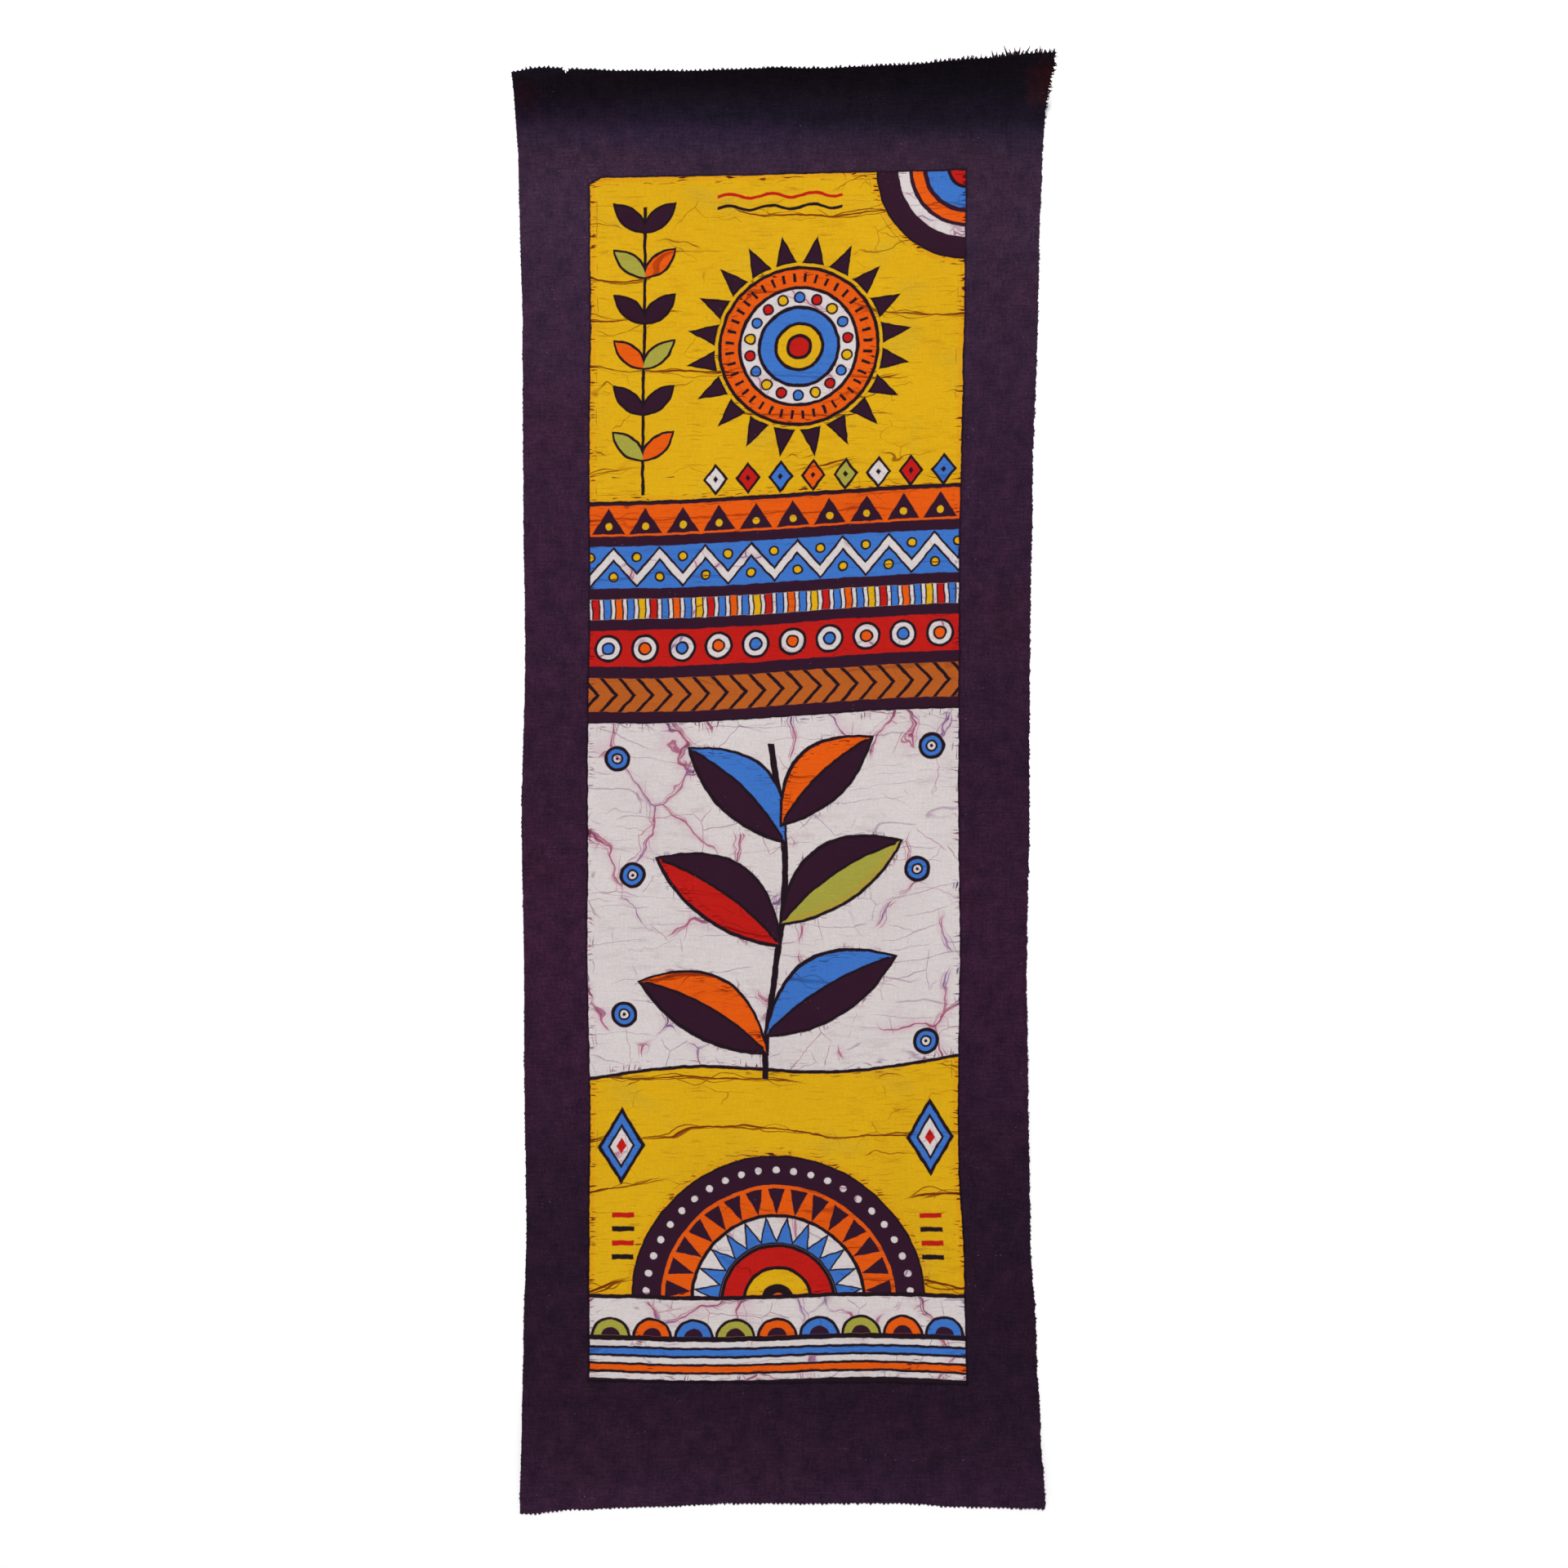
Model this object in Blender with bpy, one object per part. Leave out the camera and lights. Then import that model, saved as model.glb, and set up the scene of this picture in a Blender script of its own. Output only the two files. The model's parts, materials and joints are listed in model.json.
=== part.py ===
"""A length of dyed batik cotton, lying face up, with one end curled off the surface.

One cut piece of cloth with raw edges: no hem, lining, rod or fringe is sewn to it. It lies flat on the
surface, its length along Y. The +Y end still keeps the curl of a rolled length, and a few soft cockles lift
the cloth by a millimetre or two along its edges. Units are metres and +Z is up.
"""

import math

import bmesh
import bpy

# Driving dimensions
MM = 0.001
THICKNESS = 1.0 * MM
ROWS_FLAT = 44
ROWS_CURLED = 15
COLUMNS = 20

# The line across the cloth where the curl starts, as its distance from the plain end
CURL_START_LEFT = 908 * MM
CURL_START_RIGHT = 917 * MM
# The curl tightens from nothing to its full radius over this share of that radius
CURL_RADIUS_LEFT = 42 * MM
CURL_RADIUS_RIGHT = 46 * MM
CURL_ONSET = 0.25
CURL_STEPS = 400
CURL_LONGEST_TURN = 2.2

# The two side edges, in millimetres from the middle line, at distances from the plain end
SIDE_EDGES = (
    # along, left, right
    (-5, -179.3, 177.2),
    (53, -177.7, 174.1),
    (108, -176.9, 171.3),
    (191, -174.8, 166.9),
    (302, -176.2, 165.2),
    (358, -176.4, 164.7),
    (469, -178.0, 166.4),
    (580, -175.4, 166.9),
    (690, -176.9, 168.6),
    (801, -177.4, 171.9),
    (857, -178.5, 173.0),
    (912, -180.2, 175.2),
    (940, -181.0, 176.5),
    (985, -179.4, 178.8),
)

# The plain end's edge: millimetres by which it stops short of its straight line
PLAIN_END = (
    # across, short
    (0.00, -4.4),
    (0.10, -1.4),
    (0.25, 0.6),
    (0.41, 2.8),
    (0.72, 2.8),
    (0.84, 0.6),
    (1.00, -0.4),
)

# The curled end's edge: millimetres of cloth beyond the line where the curl starts
CURLED_END = (
    # across, beyond
    (0.00, 67.0),
    (0.05, 70.2),
    (0.09, 69.2),
    (0.12, 67.8),
    (0.20, 64.8),
    (0.34, 62.8),
    (0.48, 63.8),
    (0.56, 62.0),
    (0.71, 62.8),
    (0.86, 66.2),
    (0.95, 69.2),
    (1.00, 70.0),
)

# A small nick torn into the curled end's edge
NICK_ACROSS = 0.10
NICK_HALF_WIDTH = 0.008
NICK_DEPTH = 5.0 * MM

# Soft cockles: centre and half extents in millimetres on the cut, and height in millimetres
COCKLES = (
    # across, along, half_across, half_along, height
    (-184, 868, 70, 46, 3.0),
    (178, 838, 52, 60, 2.2),
    (-182, 590, 38, 90, 1.8),
    (172, 268, 44, 110, 2.0),
    (-186, 40, 58, 52, 2.4),
    (184, 22, 60, 48, 2.2),
)

CLOTH_COLOUR = (0.036, 0.014, 0.034, 1.0)
CLOTH_ROUGHNESS = 0.88


def clear_scene():
    for item in list(bpy.data.objects):
        bpy.data.objects.remove(item, do_unlink=True)


def cotton_material():
    material = bpy.data.materials.new("dyed_cotton")
    material.use_nodes = True
    shader = material.node_tree.nodes["Principled BSDF"]
    shader.inputs["Base Color"].default_value = CLOTH_COLOUR
    shader.inputs["Roughness"].default_value = CLOTH_ROUGHNESS
    shader.inputs["Metallic"].default_value = 0.0
    return material


def blend_between(low, high, share):
    return low + (high - low) * share


def read_table(rows, position, column):
    """Read a column of a table at a position, eased from row to row so that no row shows as a corner."""
    if position <= rows[0][0]:
        return rows[0][column]
    for row, following in zip(rows, rows[1:]):
        if position <= following[0]:
            share = (position - row[0]) / (following[0] - row[0])
            eased = share * share * (3 - 2 * share)
            return blend_between(row[column], following[column], eased)
    return rows[-1][column]


def curl_profile():
    """Side view of the curl for a radius of one: rows of length along the cloth, reach and lift."""
    rows = [(0.0, 0.0, 0.0)]
    step = CURL_LONGEST_TURN / CURL_STEPS
    reach = 0.0
    lift = 0.0
    for index in range(CURL_STEPS):
        along = (index + 0.5) * step
        slope = along - CURL_ONSET * (1 - math.exp(-along / CURL_ONSET))
        reach += math.cos(slope) * step
        lift += math.sin(slope) * step
        rows.append(((index + 1) * step, reach, lift))
    return rows


def cockle_height(across, along):
    height = 0.0
    for centre_across, centre_along, half_across, half_along, peak in COCKLES:
        sideways = (across / MM - centre_across) / half_across
        lengthways = (along / MM - centre_along) / half_along
        distance = math.hypot(sideways, lengthways)
        if distance < 1.0:
            height += peak * MM * (0.5 + 0.5 * math.cos(math.pi * distance))
    return height


def nick_depth(across_share):
    distance = abs(across_share - NICK_ACROSS) / NICK_HALF_WIDTH
    return NICK_DEPTH * max(0.0, 1.0 - distance)


def column_shares():
    """Where the grid's columns stand, from 0 at the left edge to 1 at the right, with three for the nick."""
    shares = [column / COLUMNS for column in range(COLUMNS + 1)]
    clear_of_nick = [share for share in shares if abs(share - NICK_ACROSS) > 2 * NICK_HALF_WIDTH]
    nick = [NICK_ACROSS - NICK_HALF_WIDTH, NICK_ACROSS, NICK_ACROSS + NICK_HALF_WIDTH]
    return sorted(clear_of_nick + nick)


def place_on_surface(across, along, across_share, profile):
    """Turn a point of the flat cut into the underside's place as the cloth lies."""
    curl_start = blend_between(CURL_START_LEFT, CURL_START_RIGHT, across_share)
    lift = cockle_height(across, along)
    if along <= curl_start:
        return across, along, lift
    radius = blend_between(CURL_RADIUS_LEFT, CURL_RADIUS_RIGHT, across_share)
    turn = (along - curl_start) / radius
    return (across,
            curl_start + radius * read_table(profile, turn, 1),
            lift + radius * read_table(profile, turn, 2))


def underside_grid():
    """Rows of points from the plain end to the curled end, each row from the left edge to the right."""
    profile = curl_profile()
    shares = column_shares()
    grid = []
    for row in range(ROWS_FLAT + ROWS_CURLED + 1):
        line = []
        for share in shares:
            curl_start = blend_between(CURL_START_LEFT, CURL_START_RIGHT, share)
            plain_end = read_table(PLAIN_END, share, 1) * MM
            curled_end = curl_start + read_table(CURLED_END, share, 1) * MM - nick_depth(share)
            if row <= ROWS_FLAT:
                along = blend_between(plain_end, curl_start, row / ROWS_FLAT)
            else:
                along = blend_between(curl_start, curled_end, (row - ROWS_FLAT) / ROWS_CURLED)
            left = read_table(SIDE_EDGES, along / MM, 1) * MM
            right = read_table(SIDE_EDGES, along / MM, 2) * MM
            across = blend_between(left, right, share)
            line.append(place_on_surface(across, along, share, profile))
        grid.append(line)
    return grid


def centred(grid):
    """Move the grid so that the middle of its own box stands at the origin in X and Y."""
    xs = [point[0] for line in grid for point in line]
    ys = [point[1] for line in grid for point in line]
    middle_x = (min(xs) + max(xs)) / 2
    middle_y = (min(ys) + max(ys)) / 2
    return [[(x - middle_x, y - middle_y, z) for x, y, z in line] for line in grid]


def thickness_directions(mesh, layer):
    """The upward normal at each point of the grid; it leans only where the cloth does."""
    for face in mesh.faces:
        face.normal_update()
    for line in layer:
        for vertex in line:
            vertex.normal_update()
    return [[vertex.normal.copy() for vertex in line] for line in layer]


def add_layer(mesh, points):
    return [[mesh.verts.new(point) for point in line] for line in points]


def cloth_mesh():
    grid = centred(underside_grid())
    mesh = bmesh.new()
    underside = add_layer(mesh, grid)
    rows = len(grid)
    columns = len(grid[0])
    for row in range(rows - 1):
        for column in range(columns - 1):
            mesh.faces.new((underside[row][column], underside[row][column + 1],
                            underside[row + 1][column + 1], underside[row + 1][column]))
    directions = thickness_directions(mesh, underside)
    face_points = [[vertex.co + direction * THICKNESS for vertex, direction in zip(line, leaning)]
                   for line, leaning in zip(underside, directions)]
    upper = add_layer(mesh, face_points)
    for face in list(mesh.faces):
        face.normal_flip()
    for row in range(rows - 1):
        for column in range(columns - 1):
            mesh.faces.new((upper[row][column], upper[row][column + 1],
                            upper[row + 1][column + 1], upper[row + 1][column]))
    for column in range(columns - 1):
        mesh.faces.new((underside[0][column], underside[0][column + 1],
                        upper[0][column + 1], upper[0][column]))
        mesh.faces.new((underside[-1][column + 1], underside[-1][column],
                        upper[-1][column], upper[-1][column + 1]))
    for row in range(rows - 1):
        mesh.faces.new((underside[row + 1][0], underside[row][0], upper[row][0], upper[row + 1][0]))
        mesh.faces.new((underside[row][-1], underside[row + 1][-1],
                        upper[row + 1][-1], upper[row][-1]))
    return mesh


def build_cloth():
    data = bpy.data.meshes.new("cloth")
    mesh = cloth_mesh()
    mesh.to_mesh(data)
    mesh.free()
    data.materials.append(cotton_material())
    data.shade_smooth()
    data.set_sharp_from_angle(angle=math.radians(50))
    cloth = bpy.data.objects.new("cloth", data)
    bpy.context.scene.collection.objects.link(cloth)
    return cloth


clear_scene()
build_cloth()
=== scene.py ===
"""The looks of a length of dyed batik cotton that lies face up, with one end curled off the surface.

The file is laid out as an add-on and run as a script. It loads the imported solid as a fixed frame, lays a
fine sheet of cloth in its place, dyes it with a generic wax-resist design, frays its raw edges and sets a
plain stage. Lengths are in metres unless a name ends in _MM, and +Z is up.
"""

import json
import math

import bpy
from bpy.props import FloatProperty, FloatVectorProperty, IntProperty, PointerProperty
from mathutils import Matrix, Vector, noise

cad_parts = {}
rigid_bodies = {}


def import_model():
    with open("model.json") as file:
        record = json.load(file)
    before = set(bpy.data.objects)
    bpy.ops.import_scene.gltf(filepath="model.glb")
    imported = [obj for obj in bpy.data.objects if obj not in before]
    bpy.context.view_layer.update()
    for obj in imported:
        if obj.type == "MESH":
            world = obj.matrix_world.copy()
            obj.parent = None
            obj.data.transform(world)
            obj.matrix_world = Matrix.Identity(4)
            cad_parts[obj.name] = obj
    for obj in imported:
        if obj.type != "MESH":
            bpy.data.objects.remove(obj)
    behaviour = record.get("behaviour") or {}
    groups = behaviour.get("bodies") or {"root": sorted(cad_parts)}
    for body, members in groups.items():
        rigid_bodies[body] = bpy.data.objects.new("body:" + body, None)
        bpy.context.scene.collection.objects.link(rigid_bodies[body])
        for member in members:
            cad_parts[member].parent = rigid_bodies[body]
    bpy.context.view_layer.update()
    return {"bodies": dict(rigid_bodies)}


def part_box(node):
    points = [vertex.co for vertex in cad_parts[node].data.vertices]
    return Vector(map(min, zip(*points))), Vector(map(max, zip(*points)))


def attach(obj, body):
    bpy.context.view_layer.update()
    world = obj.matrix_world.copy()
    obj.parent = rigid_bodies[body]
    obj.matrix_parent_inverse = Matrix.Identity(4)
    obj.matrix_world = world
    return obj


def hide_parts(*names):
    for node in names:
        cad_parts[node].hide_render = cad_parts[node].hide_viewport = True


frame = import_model()
CLOTH_LOW, CLOTH_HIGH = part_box("cloth")
BODY = next(iter(frame["bodies"]))

bl_info = {
    "name": "Batik Cloth",
    "version": (1, 0, 0),
    "blender": (4, 5, 0),
    "location": "View3D > Sidebar > Batik",
    "description": "A raw-edged length of wax-resist dyed cotton, laid face up with one end curled",
    "category": "Add Mesh",
}

MM = 0.001

# The cut and the way it lies, as in the part's solid
CURL_START_LEFT = 908 * MM
CURL_START_RIGHT = 917 * MM
CURL_RADIUS_LEFT = 42 * MM
CURL_RADIUS_RIGHT = 46 * MM
CURL_ONSET = 0.25
CURL_STEPS = 400
CURL_LONGEST_TURN = 2.2

# The two side edges, in millimetres from the middle line, at distances from the plain end
SIDE_EDGES = (
    # along, left, right
    (-5, -179.3, 177.2),
    (53, -177.7, 174.1),
    (108, -176.9, 171.3),
    (191, -174.8, 166.9),
    (302, -176.2, 165.2),
    (358, -176.4, 164.7),
    (469, -178.0, 166.4),
    (580, -175.4, 166.9),
    (690, -176.9, 168.6),
    (801, -177.4, 171.9),
    (857, -178.5, 173.0),
    (912, -180.2, 175.2),
    (940, -181.0, 176.5),
    (985, -179.4, 178.8),
)

# The plain end's edge: millimetres by which it stops short of its straight line
PLAIN_END = (
    # across, short
    (0.00, -4.4),
    (0.10, -1.4),
    (0.25, 0.6),
    (0.41, 2.8),
    (0.72, 2.8),
    (0.84, 0.6),
    (1.00, -0.4),
)

# The curled end's edge: millimetres of cloth beyond the line where the curl starts
CURLED_END = (
    # across, beyond
    (0.00, 67.0),
    (0.05, 70.2),
    (0.09, 69.2),
    (0.12, 67.8),
    (0.20, 64.8),
    (0.34, 62.8),
    (0.48, 63.8),
    (0.56, 62.0),
    (0.71, 62.8),
    (0.86, 66.2),
    (0.95, 69.2),
    (1.00, 70.0),
)
NICK_ACROSS = 0.10
NICK_HALF_WIDTH = 0.008
NICK_DEPTH = 5.0 * MM

# Soft cockles: centre and half extents in millimetres on the cut, and height in millimetres
COCKLES = (
    # across, along, half_across, half_along, height
    (-184, 868, 70, 46, 3.0),
    (178, 838, 52, 60, 2.2),
    (-182, 590, 38, 90, 1.8),
    (172, 268, 44, 110, 2.0),
    (-186, 40, 58, 52, 2.4),
    (184, 22, 60, 48, 2.2),
)

# The dyed panel's side edges inside the dark border, in millimetres from the middle line
PANEL_EDGES = (
    # along, left, right
    (84, -132.0, 123.8),
    (152, -131.6, 121.8),
    (233, -131.4, 118.4),
    (399, -133.0, 118.4),
    (510, -133.0, 118.4),
    (649, -131.4, 118.4),
    (774, -131.4, 120.9),
    (815, -131.2, 122.8),
    (905, -131.2, 123.1),
)
PANEL_WIDTH_MM = 250.0
PANEL_LENGTH_MM = 820.0
# The panel's two ends, in millimetres from the plain end, at its left and right edges
PANEL_FOOT_LEFT_MM = 86.0
PANEL_FOOT_RIGHT_MM = 83.7
PANEL_HEAD_LEFT_MM = 900.0
PANEL_HEAD_RIGHT_MM = 908.3

# Where the camera's axis meets the cut, measured as the tables above are
VIEW_AXIS = (0.0, 490.7 * MM)

# Names of the sheet's maps
BAKE_MAP = "OFBake"
CUT_MAP = "cut"
PICTURE_MAP = "picture"


def between(low, high, share):
    return low + (high - low) * share


def eased(share):
    share = min(1.0, max(0.0, share))
    return share * share * (3 - 2 * share)


def read_table(rows, position, column):
    """Read a column of a table at a position, eased from row to row."""
    if position <= rows[0][0]:
        return rows[0][column]
    for row, following in zip(rows, rows[1:]):
        if position <= following[0]:
            share = (position - row[0]) / (following[0] - row[0])
            return between(row[column], following[column], eased(share))
    return rows[-1][column]


def curl_profile():
    """Side view of the curl for a radius of one: rows of length along the cloth, reach and lift."""
    rows = [(0.0, 0.0, 0.0)]
    step = CURL_LONGEST_TURN / CURL_STEPS
    reach = 0.0
    lift = 0.0
    for index in range(CURL_STEPS):
        along = (index + 0.5) * step
        slope = along - CURL_ONSET * (1 - math.exp(-along / CURL_ONSET))
        reach += math.cos(slope) * step
        lift += math.sin(slope) * step
        rows.append(((index + 1) * step, reach, lift))
    return rows


CURL_PROFILE = curl_profile()


def curl_point(turn):
    """Reach and lift of the curl at a turn, read straight off the evenly stepped profile."""
    position = min(turn / CURL_LONGEST_TURN * CURL_STEPS, CURL_STEPS - 1.001)
    row = int(position)
    share = position - row
    low, high = CURL_PROFILE[row], CURL_PROFILE[row + 1]
    return between(low[1], high[1], share), between(low[2], high[2], share)


def cockle_height(across, along):
    height = 0.0
    for centre_across, centre_along, half_across, half_along, peak in COCKLES:
        sideways = (across / MM - centre_across) / half_across
        lengthways = (along / MM - centre_along) / half_along
        distance = math.hypot(sideways, lengthways)
        if distance < 1.0:
            height += peak * MM * (0.5 + 0.5 * math.cos(math.pi * distance))
    return height


# Fine unevenness of cloth that has been waxed, boiled and ironed
RELIEF_BROAD = 0.28 * MM
RELIEF_BROAD_SPAN = 46 * MM
RELIEF_BROAD_STRETCH = 0.7
RELIEF_SMALL = 0.07 * MM
RELIEF_SMALL_SPAN = 13 * MM
RELIEF_SMALL_SEED = 0.3


def relief_height(across, along):
    broad = 1 + noise.noise(Vector((across, along * RELIEF_BROAD_STRETCH, 0.0)) / RELIEF_BROAD_SPAN)
    small = 1 + noise.noise(Vector((across, along, RELIEF_SMALL_SEED)) / RELIEF_SMALL_SPAN)
    return RELIEF_BROAD * broad + RELIEF_SMALL * small


def curl_start_at(across_share):
    return between(CURL_START_LEFT, CURL_START_RIGHT, across_share)


def laid_point(across, along, across_share):
    """Turn a point of the flat cut into the underside's place as the cloth lies."""
    lift = cockle_height(across, along) + relief_height(across, along)
    curl_start = curl_start_at(across_share)
    if along <= curl_start:
        return Vector((across, along, lift))
    radius = between(CURL_RADIUS_LEFT, CURL_RADIUS_RIGHT, across_share)
    reach, rise = curl_point((along - curl_start) / radius)
    return Vector((across, curl_start + radius * reach, lift + radius * rise))


# Ragged cut: how far each edge wanders, over what length, and by which draw of noise
RAGGED_LEFT = 0.28 * MM
RAGGED_RIGHT = 0.35 * MM
RAGGED_ENDS = 0.45 * MM
RAGGED_SPAN = 6.5 * MM
RAGGED_FINE_SHARE = 0.5
RAGGED_FINE_SCALE = 2.3
LEFT_SEED = 1.5
RIGHT_SEED = 7.5
FOOT_SEED = 3.5
HEAD_SEED = 5.5
# Bites along the right edge
SCALLOP_PITCH = 8.4 * MM
SCALLOP_DEPTH = 1.0 * MM
SCALLOP_MEAN = 0.65
SCALLOP_SPREAD = 0.6
SCALLOP_WANDER = 1.2
SCALLOP_LEVEL = 0.7
SCALLOP_PITCH_SEED = 11.5
SCALLOP_DEPTH_SEED = 21.5
# The sheet's grid is stepped over these sizes, with columns of its own for the nick
GRID_LENGTH = 985 * MM
GRID_WIDTH = 352 * MM
NICK_ROWS_SHARE = 0.02
NICK_CLEARANCE = 1.6 * NICK_HALF_WIDTH
NICK_COLUMNS = (-1.0, -0.45, 0.0, 0.5, 1.0)


def ragged(reach, position, seed):
    place = Vector((position / RAGGED_SPAN, seed, 0.0))
    return reach * (noise.noise(place) + RAGGED_FINE_SHARE * noise.noise(place * RAGGED_FINE_SCALE))


def scallop(along):
    """The right edge was cut in small bites: round bumps between sharp notches."""
    uneven = noise.noise(Vector((along / (3 * SCALLOP_PITCH), SCALLOP_PITCH_SEED, 0.0)))
    spread = noise.noise(Vector((along / (2 * SCALLOP_PITCH), SCALLOP_DEPTH_SEED, 0.0)))
    deep = SCALLOP_MEAN + SCALLOP_SPREAD * spread
    bump = abs(math.sin(math.pi * (along / SCALLOP_PITCH + SCALLOP_WANDER * uneven)))
    return SCALLOP_DEPTH * deep * (bump - SCALLOP_LEVEL)


class LaidCloth:
    """The sheet's grid: each point's place as it lies and its place on the flat cut."""

    def __init__(self, thickness, row_step, column_step):
        self.thickness = thickness
        self.rows = round(GRID_LENGTH / row_step)
        columns = round(GRID_WIDTH / column_step)
        self.shares = self.column_shares(columns)
        self.cut = []
        self.under = []
        for row in range(self.rows + 1):
            line = [self.cut_point(share, column, row) for column, share in enumerate(self.shares)]
            self.cut.append(line)
            self.under.append([laid_point(across, along, share)
                               for (across, along), share in zip(line, self.shares)])
        self.normals = [[self.normal_at(row, column) for column in range(len(self.shares))]
                        for row in range(self.rows + 1)]
        self.move_into_place()

    def column_shares(self, columns):
        shares = [column / columns for column in range(columns + 1)]
        clear_of_nick = [share for share in shares if abs(share - NICK_ACROSS) > NICK_CLEARANCE]
        nick = [NICK_ACROSS + NICK_HALF_WIDTH * step for step in NICK_COLUMNS]
        return sorted(clear_of_nick + nick)

    def cut_point(self, share, column, row):
        row_share = row / self.rows
        foot = read_table(PLAIN_END, share, 1) * MM
        head = curl_start_at(share) + read_table(CURLED_END, share, 1) * MM
        along = between(foot, head, row_share)
        nick = max(0.0, 1.0 - abs(share - NICK_ACROSS) / NICK_HALF_WIDTH)
        along -= NICK_DEPTH * nick * eased((row_share - 1) / NICK_ROWS_SHARE + 1)
        left = read_table(SIDE_EDGES, along / MM, 1) * MM
        right = read_table(SIDE_EDGES, along / MM, 2) * MM
        across = between(left, right, share)
        if column == 0:
            across += ragged(RAGGED_LEFT, along, LEFT_SEED)
        elif share == 1.0:
            across += ragged(RAGGED_RIGHT, along, RIGHT_SEED) + scallop(along)
        if row == 0:
            along += ragged(RAGGED_ENDS, across, FOOT_SEED)
        elif row == self.rows:
            along += ragged(RAGGED_ENDS, across, HEAD_SEED)
        return across, along

    def normal_at(self, row, column):
        before = self.under[max(row - 1, 0)][column]
        after = self.under[min(row + 1, self.rows)][column]
        left = self.under[row][max(column - 1, 0)]
        right = self.under[row][min(column + 1, len(self.shares) - 1)]
        return (right - left).cross(after - before).normalized()

    def move_into_place(self):
        """Stand the middle of the sheet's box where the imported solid's is."""
        xs = [point.x for line in self.under for point in line]
        ys = [point.y for line in self.under for point in line]
        middle = Vector(((min(xs) + max(xs)) / 2, (min(ys) + max(ys)) / 2, 0.0))
        target = Vector(((CLOTH_LOW.x + CLOTH_HIGH.x) / 2, (CLOTH_LOW.y + CLOTH_HIGH.y) / 2, CLOTH_LOW.z))
        self.shift = target - middle
        for line in self.under:
            for point in line:
                point += self.shift

    def upper(self, row, column):
        return self.under[row][column] + self.normals[row][column] * self.thickness

    def middle(self, row, column):
        return self.under[row][column] + self.normals[row][column] * (self.thickness / 2)

    def area(self):
        """Area of the flat cut, strip by strip."""
        total = 0.0
        for line, following in zip(self.cut, self.cut[1:]):
            width = line[-1][0] - line[0][0]
            length = sum(b[1] - a[1] for a, b in zip(line, following)) / len(line)
            total += width * length
        return total


LAID = {}


def laid_cloth():
    """The sheet's grid for the scene's settings, built once for each set of sizes."""
    sizes = bpy.context.scene.batik_cloth
    key = (sizes.thickness, sizes.row_step, sizes.column_step)
    if key not in LAID:
        LAID[key] = LaidCloth(*key)
    return LAID[key]


# The panel as drawn by hand: slow and quick wander of its lines, in millimetres
WANDER_SLOW_MM = 1.1
WANDER_SLOW_SPAN = 110 * MM
WANDER_QUICK_MM = 0.45
WANDER_QUICK_SPAN = 28 * MM
WANDER_SIDEWAYS_SEED = 2.0
WANDER_UPWARDS_SEED = 9.0
WANDER_QUICK_SEED = 4


def wander(across, along, seed):
    slow = noise.noise(Vector((across / WANDER_SLOW_SPAN, along / WANDER_SLOW_SPAN, seed)))
    seed += WANDER_QUICK_SEED
    quick = noise.noise(Vector((across / WANDER_QUICK_SPAN, along / WANDER_QUICK_SPAN, seed)))
    return WANDER_SLOW_MM * slow + WANDER_QUICK_MM * quick


def picture_place(across, along, share):
    """Place on the dyed panel, in metres from its lower left corner, with the hand's wander."""
    left = read_table(PANEL_EDGES, along / MM, 1)
    right = read_table(PANEL_EDGES, along / MM, 2)
    foot = between(PANEL_FOOT_LEFT_MM, PANEL_FOOT_RIGHT_MM, share)
    head = between(PANEL_HEAD_LEFT_MM, PANEL_HEAD_RIGHT_MM, share)
    sideways = PANEL_WIDTH_MM * (across / MM - left) / (right - left)
    upwards = PANEL_LENGTH_MM * (along / MM - foot) / (head - foot)
    sideways += wander(across, along, WANDER_SIDEWAYS_SEED)
    upwards += wander(across, along, WANDER_UPWARDS_SEED)
    return sideways * MM, upwards * MM


# The bake's image holds the face in two halves side by side, and the back in two more, turned, above them
BAKE_MARGIN = 6 / 1024
BAKE_RIM = 1.5 / 1024
WIDEST_CUT = 362.5 * MM
LONGEST_HALF = 498 * MM
FACE_SCALE = (1 - 3 * BAKE_MARGIN) / 2 / WIDEST_CUT
FACE_HEIGHT = LONGEST_HALF * FACE_SCALE
BACK_SCALE = (1 - FACE_HEIGHT - 4 * BAKE_MARGIN) / WIDEST_CUT
LEFTMOST = -181.5 * MM
LOWEST = -6 * MM
HALF_OVERLAP = 10 * MM


class BakeLayout:
    """Where each corner of the sheet goes in the bake's image."""

    def __init__(self, cloth):
        self.split_row = cloth.rows // 2
        self.split_along = max(along for across, along in cloth.cut[self.split_row])

    def half(self, row):
        return 0 if row < self.split_row else 1

    def start(self, row):
        return LOWEST if row < self.split_row else self.split_along - HALF_OVERLAP

    def face(self, cut, row):
        column = BAKE_MARGIN + self.half(row) * (0.5 - BAKE_MARGIN / 2)
        return (column + (cut[0] - LEFTMOST) * FACE_SCALE,
                BAKE_MARGIN + (cut[1] - self.start(row)) * FACE_SCALE)

    def back(self, cut, row):
        column = BAKE_MARGIN + self.half(row) * (0.5 - BAKE_MARGIN / 2)
        return (column + (cut[1] - self.start(row)) * BACK_SCALE,
                2 * BAKE_MARGIN + FACE_HEIGHT + (cut[0] - LEFTMOST) * BACK_SCALE)


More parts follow.
